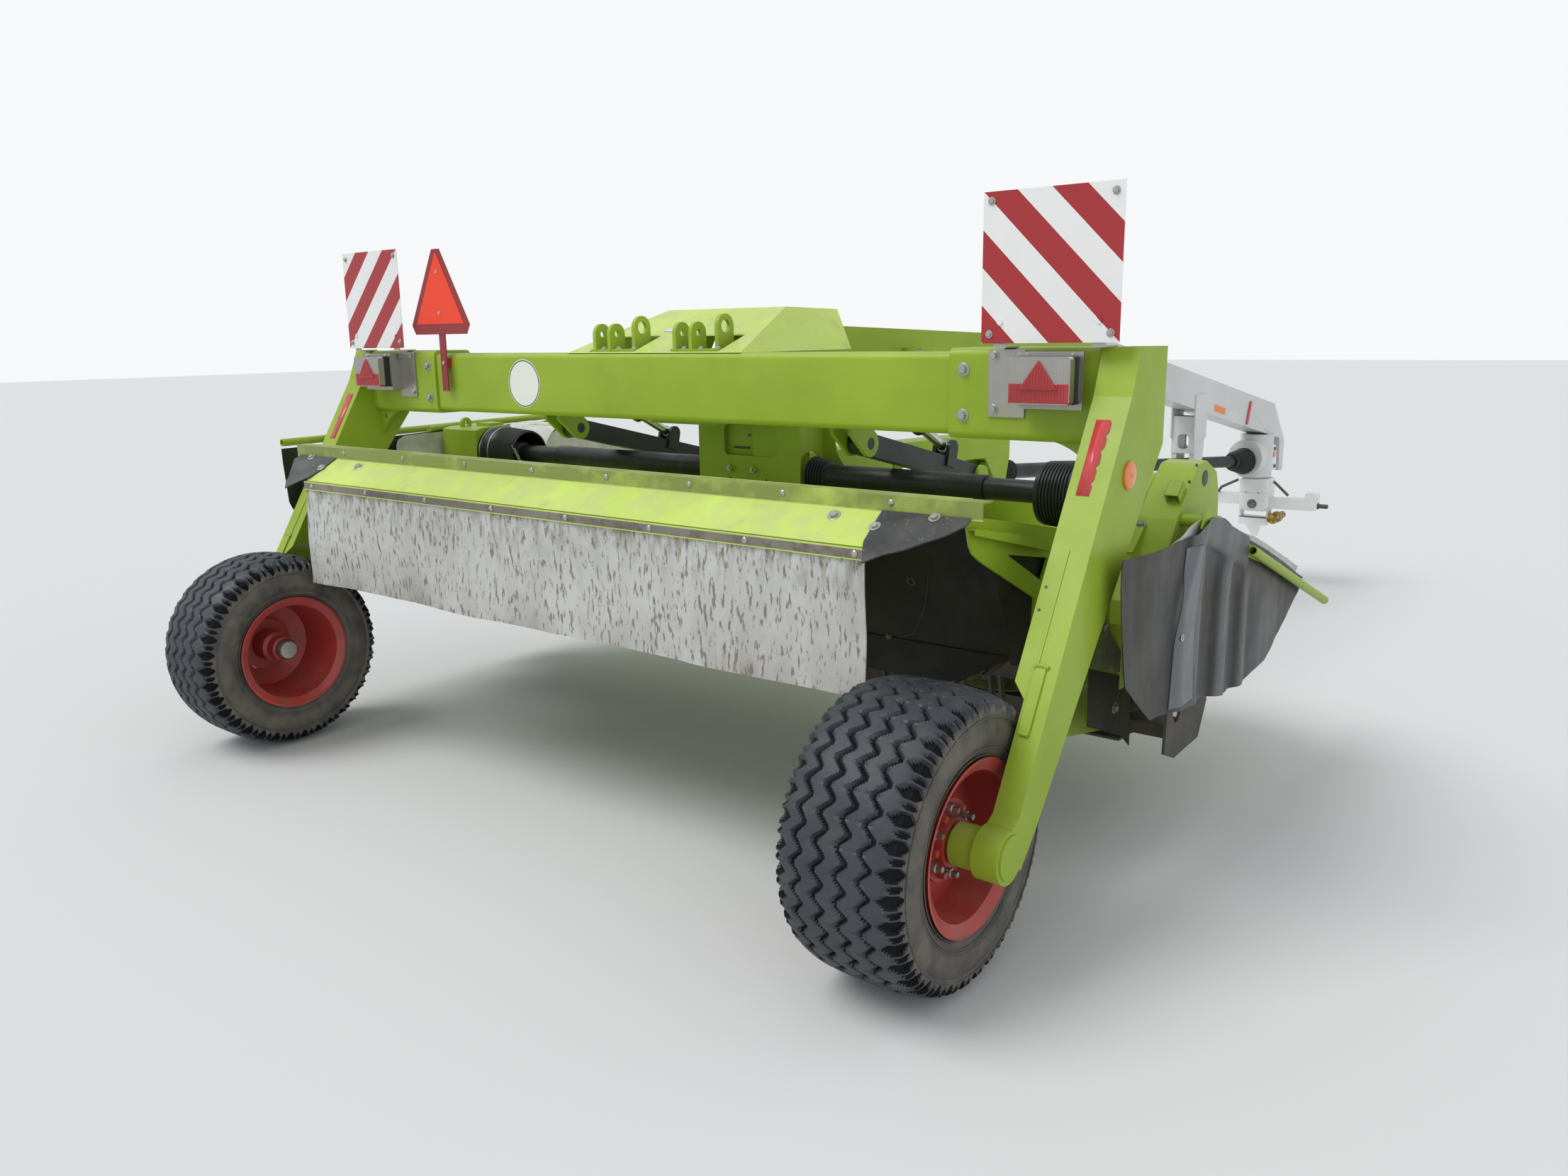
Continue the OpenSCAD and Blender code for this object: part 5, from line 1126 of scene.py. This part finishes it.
# Lower bracket: the tongue's front plate, then two straps up to the block and a cross plate
for deep, poly in ((0.012, ((-73, 448), (-73, 397), (-24, 392), (20, 325), (30, 318), (44, 318), (54, 325),
                            (73, 392), (115, 397), (115, 448))),
                   (0.08, ((-73, 440), (-61, 440), (-61, 520), (-73, 520))),
                   (0.08, ((103, 440), (115, 440), (115, 520), (103, 520))),
                   (0.08, ((-73, 440), (115, 440), (115, 448), (-73, 448)))):
    prism(bm, [H(x, -40, z) for x, z in poly], Vector((0, deep, 0)))
o = make("hitch_block", bm, "white", "hitch", smooth=26, bevel=0.005)
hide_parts("hitch_head")
bm = bmesh.new()
bolt(bm, H(23, -92, 542), BACKWARD, 0.02, 0.016)
for x in (-20, 60):
    lathe(bm, H(x, -91.5, 618), BACKWARD, [(0, 0), (0, 0.004), (0.004, 0.0036), (0.004, 0)], 12)
make("hitch_bolts", bm, "galv", "hitch")
bm = bmesh.new()
for t in (-1, 1):
    lathe(bm, H(t * (YOKE - 1), 0, 545), (t, 0, 0), [(0, 0), (0, 0.021), (0.006, 0.021), (0.007, 0.01435),
                                                     (0.058, 0.01435), (0.063, 0.011), (0.063, 0)], 24)
tube(bm, [H(-215, -50, 604), H(-195, -50, 637), H(-88, -50, 693)], 0.009, 12)
tube(bm, [H(140, -50, 694), H(152, -50, 685), H(238, -50, 607)], 0.009, 12)
make("hitch_pins", bm, "dark", "hitch")
piece("hitch_shaft_end", "yellow", "hitch", lathe, H(150, -62, 446), FORWARD,
      [(0, 0), (0, 0.02), (0.002, 0.034), (0.03, 0.036), (0.031, 0.026), (0.06, 0.026), (0.061, 0.035),
       (0.12, 0.037), (0.122, 0.024), (0.232, 0.024), (0.232, 0)], 32)

# Drawbar's nose: reflectors, a red lever, the fork bracket and a weld line
FACE = 75.2
out = Vector((cos(SWING), -sin(SWING), 0))


def on_face(bm, thick, *outline):
    """Plate on the drawbar's right face; outline is (along the drawbar, height)."""
    prism(bm, [B(FACE, a, z) for a, z in outline], out * thick)


bm = bmesh.new()
on_face(bm, 0.0015, (3657, 1230), (3790, 1198), (3786, 1158), (3653, 1190))
lathe(bm, B(79.4, 4462, 861), out, [(0, 0), (0, 0.02), (0.005, 0.019), (0.008, 0.012), (0.008, 0)], 28)
make("nose_reflectors", bm, "amber", "drawbar")
piece("nose_lever", "tape", "drawbar", on_face, 0.01,
      (4092, 1228), (4112, 1226), (4094, 1150), (4076, 1080), (4056, 1084), (4072, 1152),
      slot="red_paint", bevel=0.002)
bm = bmesh.new()
on_face(bm, 0.004, (4353, 957), (4478, 921), (4494, 905), (4508, 757), (4500, 752), (4382, 762), (4372, 775))
tube(bm, [B(75.5, 4129, 1176), B(75.5, 4424, 972)], 0.0035, 8)
make("nose_fork", bm, "white", "drawbar", smooth=20, bevel=0.001)
bolts("nose_bolts", "galv", "drawbar",
      ([B(79.4, a, z) for a, z in ((4402, 790), (4480, 782), (4470, 898))], out, 0.009, 0.007))

# ---- floor
bm = bmesh.new()
bm.faces.new([bm.verts.new((x, y, 0)) for x, y in ((-60, -60), (60, -60), (60, 60), (-60, 60))])
me = bpy.data.meshes.new("floor")
bm.to_mesh(me)
bm.free()
floor = bpy.data.objects.new("floor", me)
scene.collection.objects.link(floor)
fm = bpy.data.materials.new("floor")
fm.use_nodes = True
fb = fm.node_tree.nodes["Principled BSDF"]
fb.inputs["Base Color"].default_value = (0.66, 0.66, 0.65, 1)
fb.inputs["Roughness"].default_value = 0.9
fb.inputs["Specular IOR Level"].default_value = 0.1
me.materials.append(fm)
